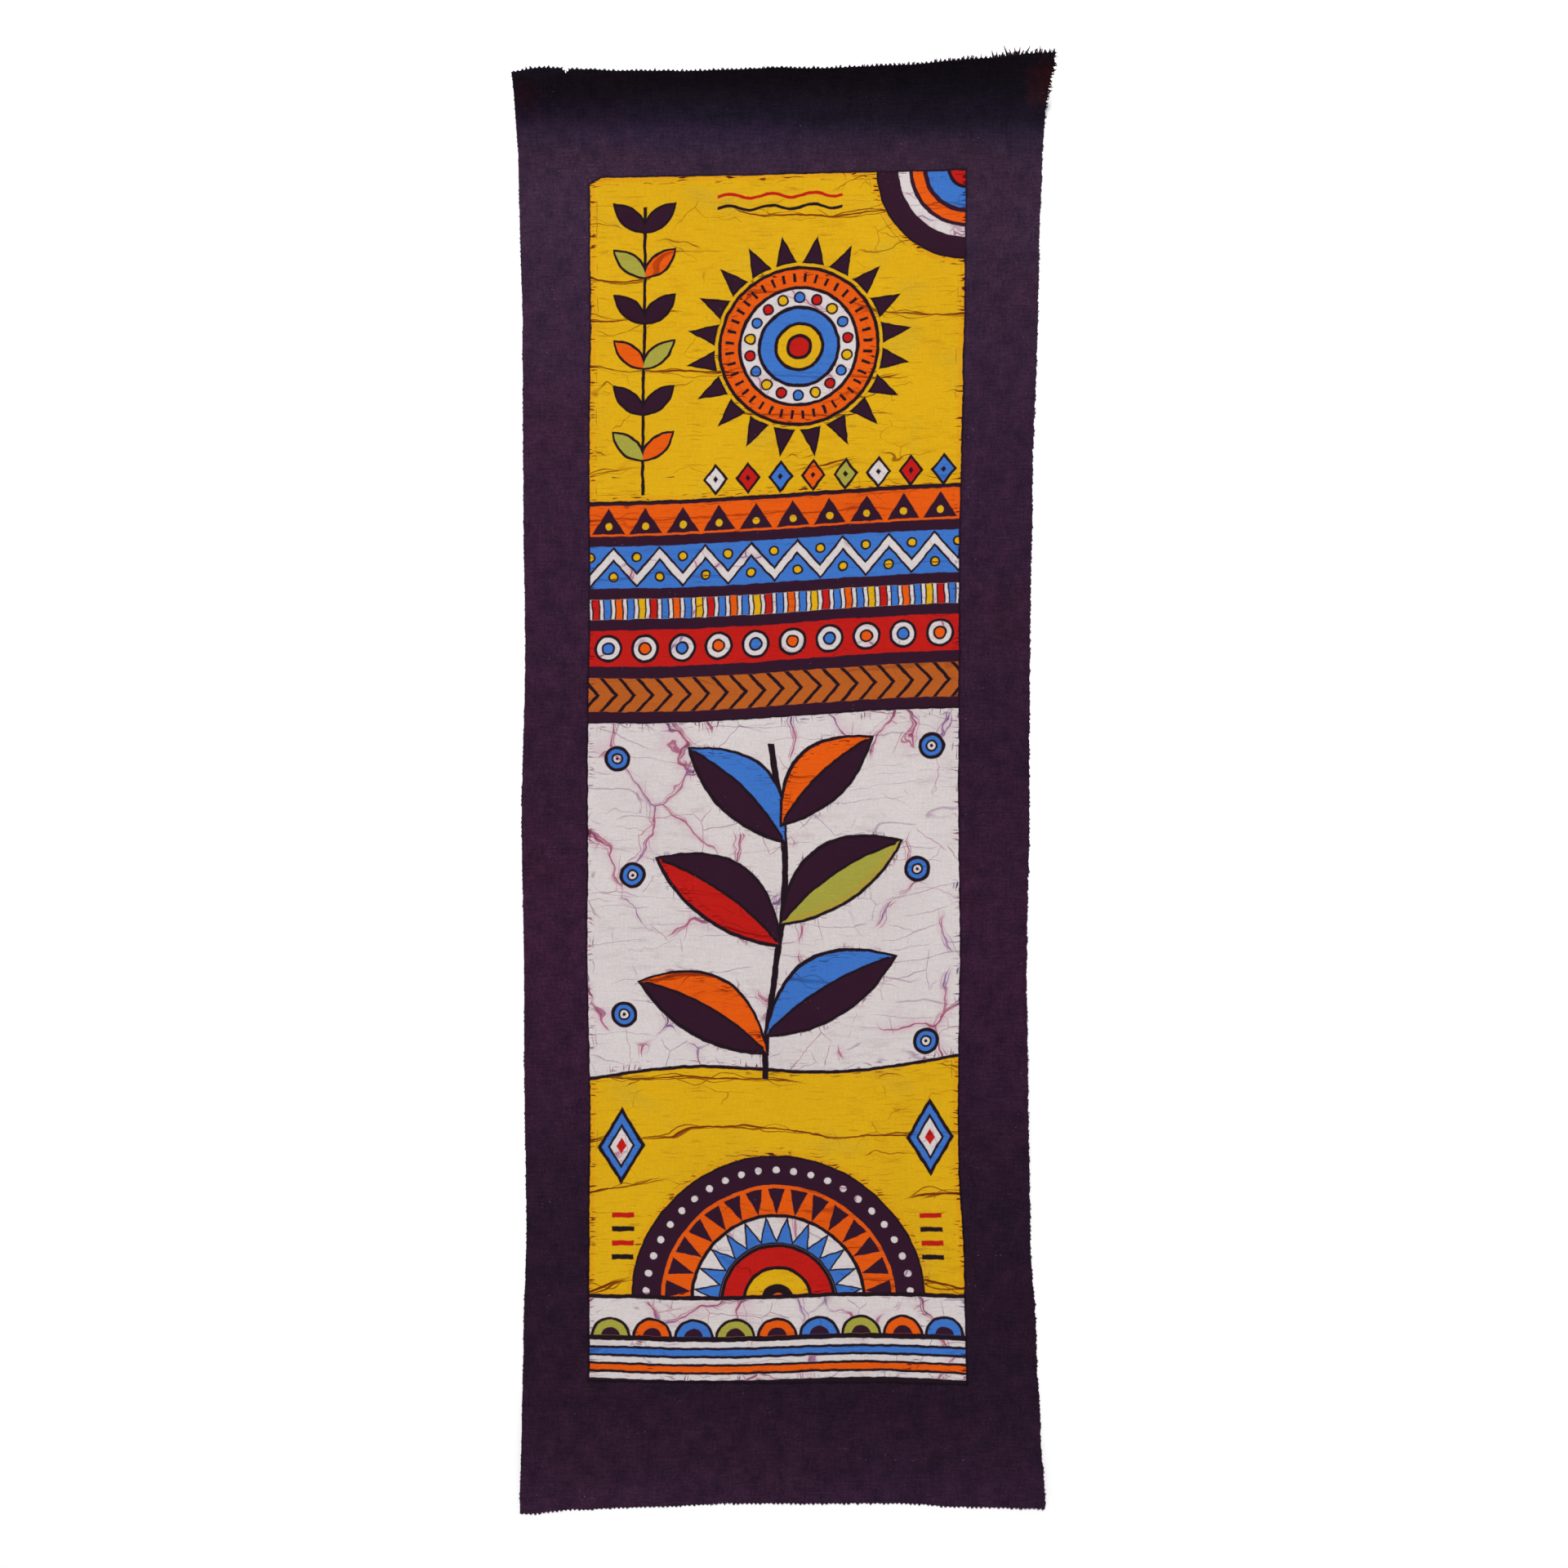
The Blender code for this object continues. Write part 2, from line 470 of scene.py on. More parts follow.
def sheet_mesh(cloth):
    """A closed sheet of two layers and a rim, with its three maps."""
    rows = cloth.rows + 1
    columns = len(cloth.shares)
    count = rows * columns
    points = [cloth.upper(row, column) for row in range(rows) for column in range(columns)]
    points += [cloth.under[row][column] for row in range(rows) for column in range(columns)]
    layout = BakeLayout(cloth)
    faces = []
    bake = []

    def place(row, column):
        return row * columns + column

    def add(corners, turned):
        """corners holds a vertex and its place in the bake's image; turned reverses them."""
        ordered = list(reversed(corners)) if turned else corners
        faces.append([vertex for vertex, spot in ordered])
        bake.extend(spot for vertex, spot in ordered)

    for row in range(rows - 1):
        for column in range(columns - 1):
            around = ((row, column), (row, column + 1), (row + 1, column + 1), (row + 1, column))
            add([(place(r, c), layout.face(cloth.cut[r][c], row)) for r, c in around], False)
            add([(count + place(r, c), layout.back(cloth.cut[r][c], row)) for r, c in around], True)

    def add_rim(first, second, row, outward):
        """Close the rim between two points of the edge; outward is its way out in the bake's image."""
        spots = [layout.face(cloth.cut[r][c], row) for r, c in (first, second)]
        outer = [(x + outward[0] * BAKE_RIM, y + outward[1] * BAKE_RIM) for x, y in spots]
        add([(place(*second), spots[1]), (place(*first), spots[0]),
             (count + place(*first), outer[0]), (count + place(*second), outer[1])], False)

    for column in range(columns - 1):
        add_rim((0, column), (0, column + 1), 0, (0, -1))
        add_rim((rows - 1, column + 1), (rows - 1, column), rows - 2, (0, 1))
    for row in range(rows - 1):
        add_rim((row + 1, 0), (row, 0), row, (-1, 0))
        add_rim((row, columns - 1), (row + 1, columns - 1), row, (1, 0))

    data = bpy.data.meshes.new("batik_cloth")
    data.from_pydata(points, [], faces)
    cuts = [cloth.cut[row][column] for row in range(rows) for column in range(columns)]
    pictures = [picture_place(*cloth.cut[row][column], cloth.shares[column])
                for row in range(rows) for column in range(columns)]
    for name, spots in ((CUT_MAP, cuts), (PICTURE_MAP, pictures)):
        layer = data.uv_layers.new(name=name)
        corners = [spots[loop.vertex_index % count] for loop in data.loops]
        layer.uv.foreach_set("vector", [value for corner in corners for value in corner])
    layer = data.uv_layers.new(name=BAKE_MAP)
    layer.uv.foreach_set("vector", [value for corner in bake for value in corner])
    data.shade_smooth()
    data.set_sharp_from_angle(angle=math.radians(50))
    return data


class Signal:
    """A socket that can be used in sums: each operator adds its Math node."""

    def __init__(self, graph, socket):
        self.graph = graph
        self.socket = socket

    def math(self, operation, *others, clamp=False):
        settings = {"operation": operation, "use_clamp": clamp}
        return self.graph.add("ShaderNodeMath", settings, dict(enumerate((self,) + others)))

    def vector(self, operation, *others, result=0):
        inputs = dict(enumerate((self,) + others))
        return self.graph.add("ShaderNodeVectorMath", {"operation": operation}, inputs, result)

    def scaled(self, factor):
        return self.graph.add("ShaderNodeVectorMath", {"operation": "SCALE"}, {0: self, "Scale": factor})

    def __add__(self, other):
        return self.math("ADD", other)

    __radd__ = __add__

    def __mul__(self, other):
        return self.math("MULTIPLY", other)

    __rmul__ = __mul__

    def __sub__(self, other):
        return self.math("SUBTRACT", other)

    def __rsub__(self, other):
        return self.graph.add("ShaderNodeMath", {"operation": "SUBTRACT"}, {0: other, 1: self})

    def __truediv__(self, other):
        return self.math("DIVIDE", other)

    def __pow__(self, other):
        return self.math("POWER", other)

    def __neg__(self):
        return self.math("MULTIPLY", -1.0)

    def __abs__(self):
        return self.math("ABSOLUTE")

    def least(self, other):
        return self.math("MINIMUM", other)

    def most(self, other):
        return self.math("MAXIMUM", other)

    def times_plus(self, factor, addend, clamp=False):
        return self.math("MULTIPLY_ADD", factor, addend, clamp=clamp)

    def rise(self, low, high):
        """0 up to low, 1 from high on, and a straight ramp between; low may be the larger."""
        slope = 1.0 / (high - low)
        return self.times_plus(slope, -low * slope, clamp=True)


class Graph:
    """Adds nodes to a shader's or a geometry's tree."""

    def __init__(self, tree):
        self.tree = tree

    def add(self, kind, settings=None, inputs=None, output=0):
        node = self.tree.nodes.new(kind)
        for name, value in (settings or {}).items():
            if name == "stops":
                self.set_stops(node.color_ramp, value)
            elif name == "interpolation":
                node.color_ramp.interpolation = value
            else:
                setattr(node, name, value)
        for key, value in (inputs or {}).items():
            self.feed(node.inputs[key], value)
        return Signal(self, node.outputs[output])

    def feed(self, socket, value):
        if isinstance(value, Signal):
            self.tree.links.new(value.socket, socket)
        elif socket.type == "RGBA":
            socket.default_value = (*value[:3], 1.0)
        else:
            socket.default_value = value

    def set_stops(self, ramp, stops):
        """stops holds each colour with its place on the ramp."""
        ramp.elements.remove(ramp.elements[1])
        ramp.elements[0].position = stops[0][0]
        ramp.elements[0].color = (*stops[0][1][:3], 1.0)
        for position, colour in stops[1:]:
            ramp.elements.new(position).color = (*colour[:3], 1.0)

    def blend(self, under, over, share, mode="MIX"):
        settings = {"data_type": "RGBA", "blend_type": mode}
        return self.add("ShaderNodeMix", settings, {0: share, 6: under, 7: over}, 2)

    def blend_number(self, share, under, over):
        return self.add("ShaderNodeMix", {"data_type": "FLOAT"}, {0: share, 2: under, 3: over})

    def parts(self, vector):
        node = self.add("ShaderNodeSeparateXYZ", inputs={0: vector}).socket.node
        return [Signal(self, output) for output in node.outputs]

    def vector(self, x, y, z=0.0):
        return self.add("ShaderNodeCombineXYZ", inputs={0: x, 1: y, 2: z})

    def noise(self, place, spans, detail=2.0, roughness=0.5, output=0):
        """Noise from 0 to 1 whose features are about as long as spans, in the place's own units."""
        stretched = place.vector("DIVIDE", (*spans, 1.0))
        inputs = {"Vector": stretched, "Scale": 1.0, "Detail": detail, "Roughness": roughness}
        return self.add("ShaderNodeTexNoise", {"noise_dimensions": "2D"}, inputs, output)

    def pick(self, index, colours):
        """One of several colours by a whole number that may be past their count."""
        count = len(colours)
        stops = [(step / count, colour) for step, colour in enumerate(colours)]
        share = (index / count + 0.5 / count).math("FRACT")
        return self.add("ShaderNodeValToRGB", {"stops": stops, "interpolation": "CONSTANT"}, {0: share})


INK_MM = 2.4
SOFT_EDGE_MM = 0.55
DARK_RIM_MM = 1.5


class Picture:
    """The dyed panel, painted shape over shape. A shape is a distance in millimetres, below 0 inside."""

    def __init__(self, graph, place, dyes):
        self.graph = graph
        self.place = place
        self.p, self.q, self.height = graph.parts(place)
        self.dyes = dyes
        self.colour = tuple(dyes.yellow)
        self.near_ink = None

    def fill(self, shape, colour):
        mask = shape.times_plus(-1 / SOFT_EDGE_MM, 0.5, clamp=True)
        self.colour = self.graph.blend(self.colour, colour, mask)

    def ink(self, shape, colour, line=INK_MM):
        """Fill a shape and draw the dark line round it."""
        self.fill(shape - line, self.dyes.outline)
        self.fill(shape, colour)

    def dark(self, shape):
        """Fill a shape with the last dye, a shade darker along its edge."""
        self.fill(shape, self.dyes.outline)
        self.fill(shape + DARK_RIM_MM, self.dyes.plum)

    def cracks_at(self, shape):
        """Wax cracks gather along this shape's edge."""
        gap = abs(shape)
        self.near_ink = gap if self.near_ink is None else self.near_ink.least(gap)

    def distance(self, across, up):
        return self.place.vector("DISTANCE", (across, up, 0.0), result=1)

    def polar(self, centre):
        """Distance from a centre and the angle round it."""
        across, up = centre
        return self.distance(across, up), (self.q - up).math("ARCTAN2", self.p - across)

    def wave(self, position, span, height):
        return (position / span).math("SINE") * height

    def lozenge(self, x, y, across_slope, up_slope, reach):
        return abs(x) * across_slope + abs(y) * up_slope - reach

    def strip(self, position, low, high):
        """The stretch between two values of a position."""
        return abs(position - (low + high) / 2) - (high - low) / 2

    def turned(self, across, up, angle):
        """Position along and beside a line that leaves a point at an angle, in degrees from straight up."""
        offset = self.place.vector("SUBTRACT", (across, up, 0.0))
        lean = math.radians(angle)
        along = offset.vector("DOT_PRODUCT", (math.sin(lean), math.cos(lean), 0.0), result=1)
        beside = offset.vector("DOT_PRODUCT", (math.cos(lean), -math.sin(lean), 0.0), result=1)
        return along, beside

    def repeat(self, position, pitch):
        """Position from the middle of each repeat, and the repeat's number."""
        steps = position / pitch
        return (steps.math("FRACT") - 0.5) * pitch, steps.math("FLOOR")

    def round_spot(self, x, y, radius):
        return self.graph.vector(x, y).vector("LENGTH", result=1) - radius


# The panel's design: places and sizes in millimetres, from the panel's lower left corner
WHITE_FIELD_FOOT = 208
WHITE_FIELD_HEAD = 520
WHITE_FIELD_SLOPE = 0.05
# Hand-drawn rows and bands climb a little towards the right
ROW_SLOPE = 0.03
THIN_HALF_WIDTH = 1.1


def ground(picture):
    """A wide white field across the yellow one, its lower edge drawn as a slow wave."""
    wave = picture.wave(picture.p, span=36, height=4) + picture.p * WHITE_FIELD_SLOPE
    above_foot = picture.q - wave - WHITE_FIELD_FOOT
    picture.ink((-above_foot).most(picture.q - WHITE_FIELD_HEAD), picture.dyes.white)
    picture.cracks_at(above_foot)


# The rosette in the upper field, from its rays inwards
ROSETTE_CENTRE = (140, 703)
ROSETTE_RAYS = 20
ROSETTE_RAY_TIP = 76
ROSETTE_RAY_ROOT = 56.5
ROSETTE_RAY_SLOPE = 0.38
ROSETTE_RIM = 52
ROSETTE_NOTCHES = 40
ROSETTE_NOTCH_RING = 46.6
ROSETTE_NOTCH_HALF_LENGTH = 3.0
ROSETTE_NOTCH_HALF_WIDTH = 1.0
ROSETTE_BEAD_BED = 38.5
ROSETTE_BEAD_RING = 33.3
ROSETTE_BEADS = 18
ROSETTE_DISCS = (
    # radius, dye
    (25.5, "blue"),
    (14.5, "yellow"),
    (6.5, "red"),
)


def rosette(picture):
    dyes = picture.dyes
    radius, angle = picture.polar(ROSETTE_CENTRE)
    ray_angle, ray = picture.repeat(angle, math.tau / ROSETTE_RAYS)
    ray_shape = abs(ray_angle) * radius - (ROSETTE_RAY_TIP - radius) * ROSETTE_RAY_SLOPE
    picture.dark(ray_shape.most(ROSETTE_RAY_ROOT - radius))
    picture.ink(radius - ROSETTE_RIM, dyes.orange)
    picture.cracks_at(radius - ROSETTE_RIM)
    notch_angle, notch = picture.repeat(angle, math.tau / ROSETTE_NOTCHES)
    notch_side = abs(notch_angle) * radius - ROSETTE_NOTCH_HALF_WIDTH
    notch_end = abs(radius - ROSETTE_NOTCH_RING) - ROSETTE_NOTCH_HALF_LENGTH
    picture.fill(notch_side.most(notch_end), dyes.outline)
    picture.ink(radius - ROSETTE_BEAD_BED, dyes.white)
    bead_angle, bead = picture.repeat(angle, math.tau / ROSETTE_BEADS)
    spot = picture.round_spot(bead_angle * radius, radius - ROSETTE_BEAD_RING, radius=2.7)
    picture.ink(spot, picture.graph.pick(bead, (dyes.red, dyes.blue, dyes.yellow)), line=1.3)
    for disc_radius, dye in ROSETTE_DISCS:
        picture.ink(radius - disc_radius, getattr(dyes, dye))


# The quarter of a wheel in the panel's upper right corner, from its rim inwards
CORNER_FAN_CENTRE = (252, 822)
CORNER_FAN_RIM = 62
CORNER_FAN_RINGS = (
    # middle_radius, dye
    (43.5, "white"),
    (34.0, "orange"),
)
CORNER_FAN_RING_HALF_WIDTH = 3.4
CORNER_FAN_DISC = 27.5
CORNER_FAN_HEART = 12


def corner_fan(picture):
    dyes = picture.dyes
    radius = picture.distance(*CORNER_FAN_CENTRE)
    picture.dark(radius - CORNER_FAN_RIM)
    picture.cracks_at(radius - CORNER_FAN_RIM)
    for middle, dye in CORNER_FAN_RINGS:
        picture.fill(abs(radius - middle) - CORNER_FAN_RING_HALF_WIDTH, getattr(dyes, dye))
    picture.fill(radius - CORNER_FAN_DISC, dyes.blue)
    picture.ink(radius - CORNER_FAN_HEART, dyes.red)


# The straight sprig up the left of the upper field, and one of its leaflets on its own slanting axis
SPRIG_ACROSS = 36
SPRIG_FOOT = 604
SPRIG_HEAD = 800
LEAFLETS_FOOT = 618
LEAFLETS_HEAD = 804
LEAFLET_PITCH = 31
LEAFLET_COSINE = 0.74
LEAFLET_SINE = 0.67
LEAFLET_MIDDLE = 9.5
LEAFLET_HALF_LENGTH = 13.5
LEAFLET_HALF_WIDTH = 5.0
LEAFLET_DROP = 3.5


def leaflets(picture):
    dyes = picture.dyes
    x = picture.p - SPRIG_ACROSS
    y, pair = picture.repeat(picture.q - LEAFLETS_FOOT, LEAFLET_PITCH)
    side = x.math("GREATER_THAN", 0.0)
    stem = abs(x) - THIN_HALF_WIDTH
    picture.fill(stem.most(picture.strip(picture.q, SPRIG_FOOT, SPRIG_HEAD)), dyes.outline)
    along = abs(x) * LEAFLET_COSINE + y * LEAFLET_SINE
    beside = abs(x) * -LEAFLET_SINE + y * LEAFLET_COSINE
    middle = (along - LEAFLET_MIDDLE) / LEAFLET_HALF_LENGTH
    blade = abs(beside + LEAFLET_DROP) + middle * middle * LEAFLET_HALF_WIDTH - LEAFLET_HALF_WIDTH
    blade = blade.most(picture.strip(picture.q, LEAFLETS_FOOT, LEAFLETS_HEAD))
    colour = picture.graph.pick(pair + side * 2, (dyes.green, dyes.plum, dyes.orange, dyes.plum))
    picture.ink(blade, colour, line=1.8)


# The row of small lozenges under the rosette
LOZENGES_START = 74
LOZENGES_LEVEL = 611
LOZENGE_PITCH = 22
LOZENGE_CLEARANCE = 2


def lozenge_row(picture):
    dyes = picture.dyes
    x, number = picture.repeat(picture.p - LOZENGES_START, LOZENGE_PITCH)
    y = picture.q - picture.p * ROW_SLOPE - LOZENGES_LEVEL
    shape = picture.lozenge(x, y, across_slope=0.85, up_slope=0.66, reach=5.4)
    shape = shape.most(LOZENGES_START + LOZENGE_CLEARANCE - picture.p)
    colour = picture.graph.pick(number, (dyes.white, dyes.red, dyes.blue, dyes.orange, dyes.green))
    picture.ink(shape, colour, line=1.9)
    picture.fill(shape + 3.9, dyes.outline)


# The wavy strokes at the head of the upper field
RIPPLES_LEVEL = 794
RIPPLES_LEFT = 84
RIPPLES_RIGHT = 168
RIPPLE_PITCH = 8
RIPPLE_COUNT = 2


def water_lines(picture):
    y = picture.q - picture.wave(picture.p, span=4.5, height=1.5) - RIPPLES_LEVEL
    local, line = picture.repeat(y, RIPPLE_PITCH)
    upwards = picture.strip(y, 0, RIPPLE_PITCH * RIPPLE_COUNT)
    within = upwards.most(picture.strip(picture.p, RIPPLES_LEFT, RIPPLES_RIGHT))
    colour = picture.graph.pick(line, (picture.dyes.outline, picture.dyes.red))
    picture.fill((abs(local) - THIN_HALF_WIDTH).most(within), colour)


def triangle_band(picture, p, level, low, high):
    dyes = picture.dyes
    picture.fill(picture.strip(level, low, high), dyes.orange)
    x, number = picture.repeat(p, 25)
    height = level - (low + 1.5)
    slope = (abs(x) - (17.5 - height) * 0.64) * 0.84
    picture.fill(slope.most(-height), dyes.plum)
    picture.fill(picture.round_spot(x, height - 5.2, radius=2.4), dyes.yellow)


ZIGZAG_HALF_PITCH = 15.6
ZIGZAG_SPOT_RISE = 6.8


def zigzag_band(picture, p, level, low, high):
    dyes = picture.dyes
    strip = picture.strip(level, low, high)
    picture.fill(strip, dyes.blue)
    ridge = p.math("PINGPONG", ZIGZAG_HALF_PITCH) * 1.15 - 9
    middle = level - (low + high) / 2
    picture.ink((abs(middle - ridge) * 0.66 - 2.1).most(strip + 1.2), dyes.white, line=1.5)
    x, number = picture.repeat(p + ZIGZAG_HALF_PITCH / 2, ZIGZAG_HALF_PITCH)
    odd = number.math("FLOORED_MODULO", 2.0)
    rise = middle + odd * (2 * ZIGZAG_SPOT_RISE) - ZIGZAG_SPOT_RISE
    picture.ink(picture.round_spot(x, rise, radius=2.3), dyes.yellow, line=1.3)


BAR_HALF_WIDTH = 1.9


def bar_band(picture, p, level, low, high):
    dyes = picture.dyes
    strip = picture.strip(level, low, high)
    picture.fill(strip, dyes.white)
    x, number = picture.repeat(p + picture.wave(level, span=3, height=0.3), 7.8)
    colour = picture.graph.pick(number, (dyes.red, dyes.blue, dyes.orange, dyes.blue, dyes.yellow))
    bar = abs(x) - BAR_HALF_WIDTH
    picture.fill((bar - 1.0).most(strip), dyes.outline)
    picture.fill(bar.most(strip), colour)


def ring_band(picture, p, level, low, high):
    dyes = picture.dyes
    picture.fill(picture.strip(level, low, high), dyes.red)
    x, number = picture.repeat(p, 25)
    spot = picture.round_spot(x, level - (low + 12.2), radius=7.6)
    picture.ink(spot, dyes.white, line=2.0)
    picture.ink(spot + 4.4, picture.graph.pick(number, (dyes.blue, dyes.orange)), line=1.4)


def chevron_band(picture, p, level, low, high):
    dyes = picture.dyes
    strip = picture.strip(level, low, high)
    picture.fill(strip, dyes.tan)
    x, number = picture.repeat(p + abs(level - (low + high) / 2) * 0.9, 12.5)
    picture.fill((abs(x) - 1.5).most(strip), dyes.outline)


# The dark slab between the two fields and the bands on it, each from its foot to its head
SLAB_FOOT = 448
SLAB_HEAD = 600
BANDS = (
    # painter, low, high
    (triangle_band, 576, 597),
    (zigzag_band, 540, 569),
    (bar_band, 519, 532.5),
    (ring_band, 487, 511.5),
    (chevron_band, 456, 479),
)


def band_stack(picture):
    """Five bordered bands that cross the panel between the two fields."""
    level = picture.q - picture.p * ROW_SLOPE + picture.wave(picture.p, span=47, height=1.3)
    slab = picture.strip(level, SLAB_FOOT, SLAB_HEAD)
    picture.dark(slab)
    picture.cracks_at(slab)
    for paint_band, low, high in BANDS:
        paint_band(picture, picture.p, level, low, high)


# The stalk in the white field: where its leaves leave it and how each one is drawn
STALK_MIDDLE = 126
STALK_FOOT = 205
STALK_HEAD = 434
STALK_HALF_WIDTH = 2.2
STALK_SWAY = 7
STALK_SPAN = 44
LEAF_TAPER = 0.86
LEAF_RIB_HALF_WIDTH = 1.0
LEAVES = (
    # up, angle, length, half_width, bend, left_dye, right_dye
    (224, -60, 96, 19.5, -7, "plum", "orange"),
    (236, 58, 100, 19.5, 7, "blue", "plum"),
    (297, -54, 100, 20.0, -7, "red", "plum"),
    (312, 55, 96, 19.0, 7, "plum", "green"),
    (368, -45, 88, 18.0, -6, "plum", "blue"),
    (380, 46, 82, 17.0, 6, "orange", "plum"),
)


def stalk(picture):
    sway = picture.wave(picture.q, span=STALK_SPAN, height=STALK_SWAY)
    stem = abs(picture.p - sway - STALK_MIDDLE) - STALK_HALF_WIDTH
    picture.fill(stem.most(picture.strip(picture.q, STALK_FOOT, STALK_HEAD)), picture.dyes.outline)
    for row in LEAVES:
        leaf(picture, *row)


def leaf(picture, up, angle, length, half_width, bend, left_dye, right_dye):
    """A lens-shaped leaf, split by its midrib into two dyes."""
    across = STALK_MIDDLE + STALK_SWAY * math.sin(up / STALK_SPAN)
    along, beside = picture.turned(across, up, angle)
    middle = along.times_plus(2 / length, -1.0)
    swell = 1 - middle * middle
    rib = beside + swell * bend
    blade = (abs(rib) - swell * half_width) * LEAF_TAPER
    picture.ink(blade, getattr(picture.dyes, left_dye))
    picture.cracks_at(blade)
    picture.fill((blade - 0.4).most(-rib), getattr(picture.dyes, right_dye))
    picture.fill((abs(rib) - LEAF_RIB_HALF_WIDTH).most(blade + 1.0), picture.dyes.outline)


# Ringed dots beside the leaves, and the rings inside one
DOTS = (
    # across, up
    (24, 250),
    (30, 345),
    (20, 424),
    (228, 232),
    (222, 348),
    (232, 432),
)
DOT_RADIUS = 6.6
DOT_RINGS = (
    # radius, dye
    (4.0, "outline"),
    (2.6, "white"),
    (1.1, "outline"),
)


def ringed_dots(picture):
    nearest = picture.distance(*DOTS[0])
    for dot in DOTS[1:]:
        nearest = nearest.least(picture.distance(*dot))
    picture.ink(nearest - DOT_RADIUS, picture.dyes.blue)
    for radius, dye in DOT_RINGS:
        picture.fill(nearest - radius, getattr(picture.dyes, dye))


# The half wheel over the foot border, from its rim inwards
FAN_CENTRE = (126, 56)
FAN_RIM = 98
FAN_DOT_RING = 88
FAN_DOTS = 46
FAN_TOOTH_BED = 78
FAN_TOOTH_TIP = 58
FAN_TOOTH_ROOT = 75.5
FAN_TEETH = 30
FAN_PETAL_BED = 56
FAN_PETAL_TIP = 54
FAN_PETAL_ROOT = 39.5
FAN_PETALS = 24
FAN_POINT_SLOPE = 0.34


def fan(picture):
    """Half a wheel of rings that stands on the foot border."""
    dyes = picture.dyes
    radius, angle = picture.polar(FAN_CENTRE)
    picture.dark(radius - FAN_RIM)
    picture.cracks_at(radius - FAN_RIM)
    dot_angle, dot = picture.repeat(angle, math.tau / FAN_DOTS)
    picture.fill(picture.round_spot(dot_angle * radius, radius - FAN_DOT_RING, radius=2.3), dyes.white)
    picture.fill(radius - FAN_TOOTH_BED, dyes.orange)
    tooth_angle, tooth = picture.repeat(angle, math.tau / FAN_TEETH)
    tooth_shape = abs(tooth_angle) * radius - (radius - FAN_TOOTH_TIP) * FAN_POINT_SLOPE
    picture.fill(tooth_shape.most(radius - FAN_TOOTH_ROOT), dyes.plum)
    picture.ink(radius - FAN_PETAL_BED, dyes.white)
    petal_angle, petal = picture.repeat(angle, math.tau / FAN_PETALS)
    petal_shape = abs(petal_angle) * radius - (FAN_PETAL_TIP - radius) * FAN_POINT_SLOPE
    picture.ink(petal_shape.most(FAN_PETAL_ROOT - radius), dyes.blue, line=1.2)
    picture.ink(radius - 36, dyes.red)
    picture.ink(radius - 21, dyes.yellow)
    picture.fill(radius - 11, dyes.outline)
    picture.fill(radius - 5, dyes.orange)


# What stands on each side of the fan, as far from its middle line
SIDE_MARK_OFFSET = 105
SIDE_LOZENGE_LEVEL = 160
LADDER_FOOT = 80
LADDER_HEAD = 118
LADDER_PITCH = 9.5
LADDER_SHIFT = 1.5
LADDER_HALF_WIDTH = 7.5
LADDER_BAR_HALF_WIDTH = 1.7


def side_marks(picture):
    """A tall lozenge over a short ladder of bars, on each side of the fan."""
    dyes = picture.dyes
    x = abs(picture.p - FAN_CENTRE[0]) - SIDE_MARK_OFFSET
    y = picture.q - picture.p * ROW_SLOPE - SIDE_LOZENGE_LEVEL
    lozenge = picture.lozenge(x, y, across_slope=0.85, up_slope=0.52, reach=11.5)
    picture.ink(lozenge, dyes.blue)
    picture.ink(lozenge + 5.0, dyes.white, line=1.6)
    picture.fill(lozenge + 8.6, dyes.red)
    local, bar = picture.repeat(picture.q - LADDER_FOOT, LADDER_PITCH)
    shape = (abs(local) - LADDER_BAR_HALF_WIDTH).most(abs(x + LADDER_SHIFT) - LADDER_HALF_WIDTH)
    shape = shape.most(picture.strip(picture.q, LADDER_FOOT, LADDER_HEAD))
    picture.fill(shape, picture.graph.pick(bar, (dyes.outline, dyes.red)))


# The foot border: a row of scallops over stripes
FOOT_BORDER_HEAD = 60
SCALLOPS_FOOT = 32
SCALLOPS_HEAD = 57
PANEL_SCALLOP_PITCH = 27.8
STRIPES_FOOT = 1.3
STRIPE_PITCH = 5.6
STRIPE_HALF_WIDTH = 1.9


def foot_border(picture):
    """Scallops over five stripes along the panel's foot."""
    dyes = picture.dyes
    level = picture.q + picture.wave(picture.p, span=41, height=1.2)
    picture.fill(level - FOOT_BORDER_HEAD, dyes.outline)
    picture.cracks_at(level - FOOT_BORDER_HEAD)
    strip = picture.strip(level, SCALLOPS_FOOT, SCALLOPS_HEAD)
    picture.fill(strip, dyes.white)
    x, number = picture.repeat(picture.p, PANEL_SCALLOP_PITCH)
    mound = picture.round_spot(x, level - (SCALLOPS_FOOT - 1), radius=11.5)
    picture.ink(mound.most(strip), picture.graph.pick(number, (dyes.green, dyes.orange, dyes.blue)), line=2.0)
    picture.fill((mound + 5.0).most(strip), dyes.plum)
    stripe_dyes = (dyes.white, dyes.orange, dyes.white, dyes.blue, dyes.white)
    local, stripe = picture.repeat(level - STRIPES_FOOT, STRIPE_PITCH)
    stripes = picture.strip(level, STRIPES_FOOT, STRIPES_FOOT + STRIPE_PITCH * len(stripe_dyes))
    picture.fill((abs(local) - STRIPE_HALF_WIDTH).most(stripes), picture.graph.pick(stripe, stripe_dyes))


# The cut-off corner's slant, and how much of the corner it takes
CORNER_ACROSS_SLOPE = 0.52
CORNER_UP_SLOPE = 0.85
CORNER_CUT_MM = 3.7


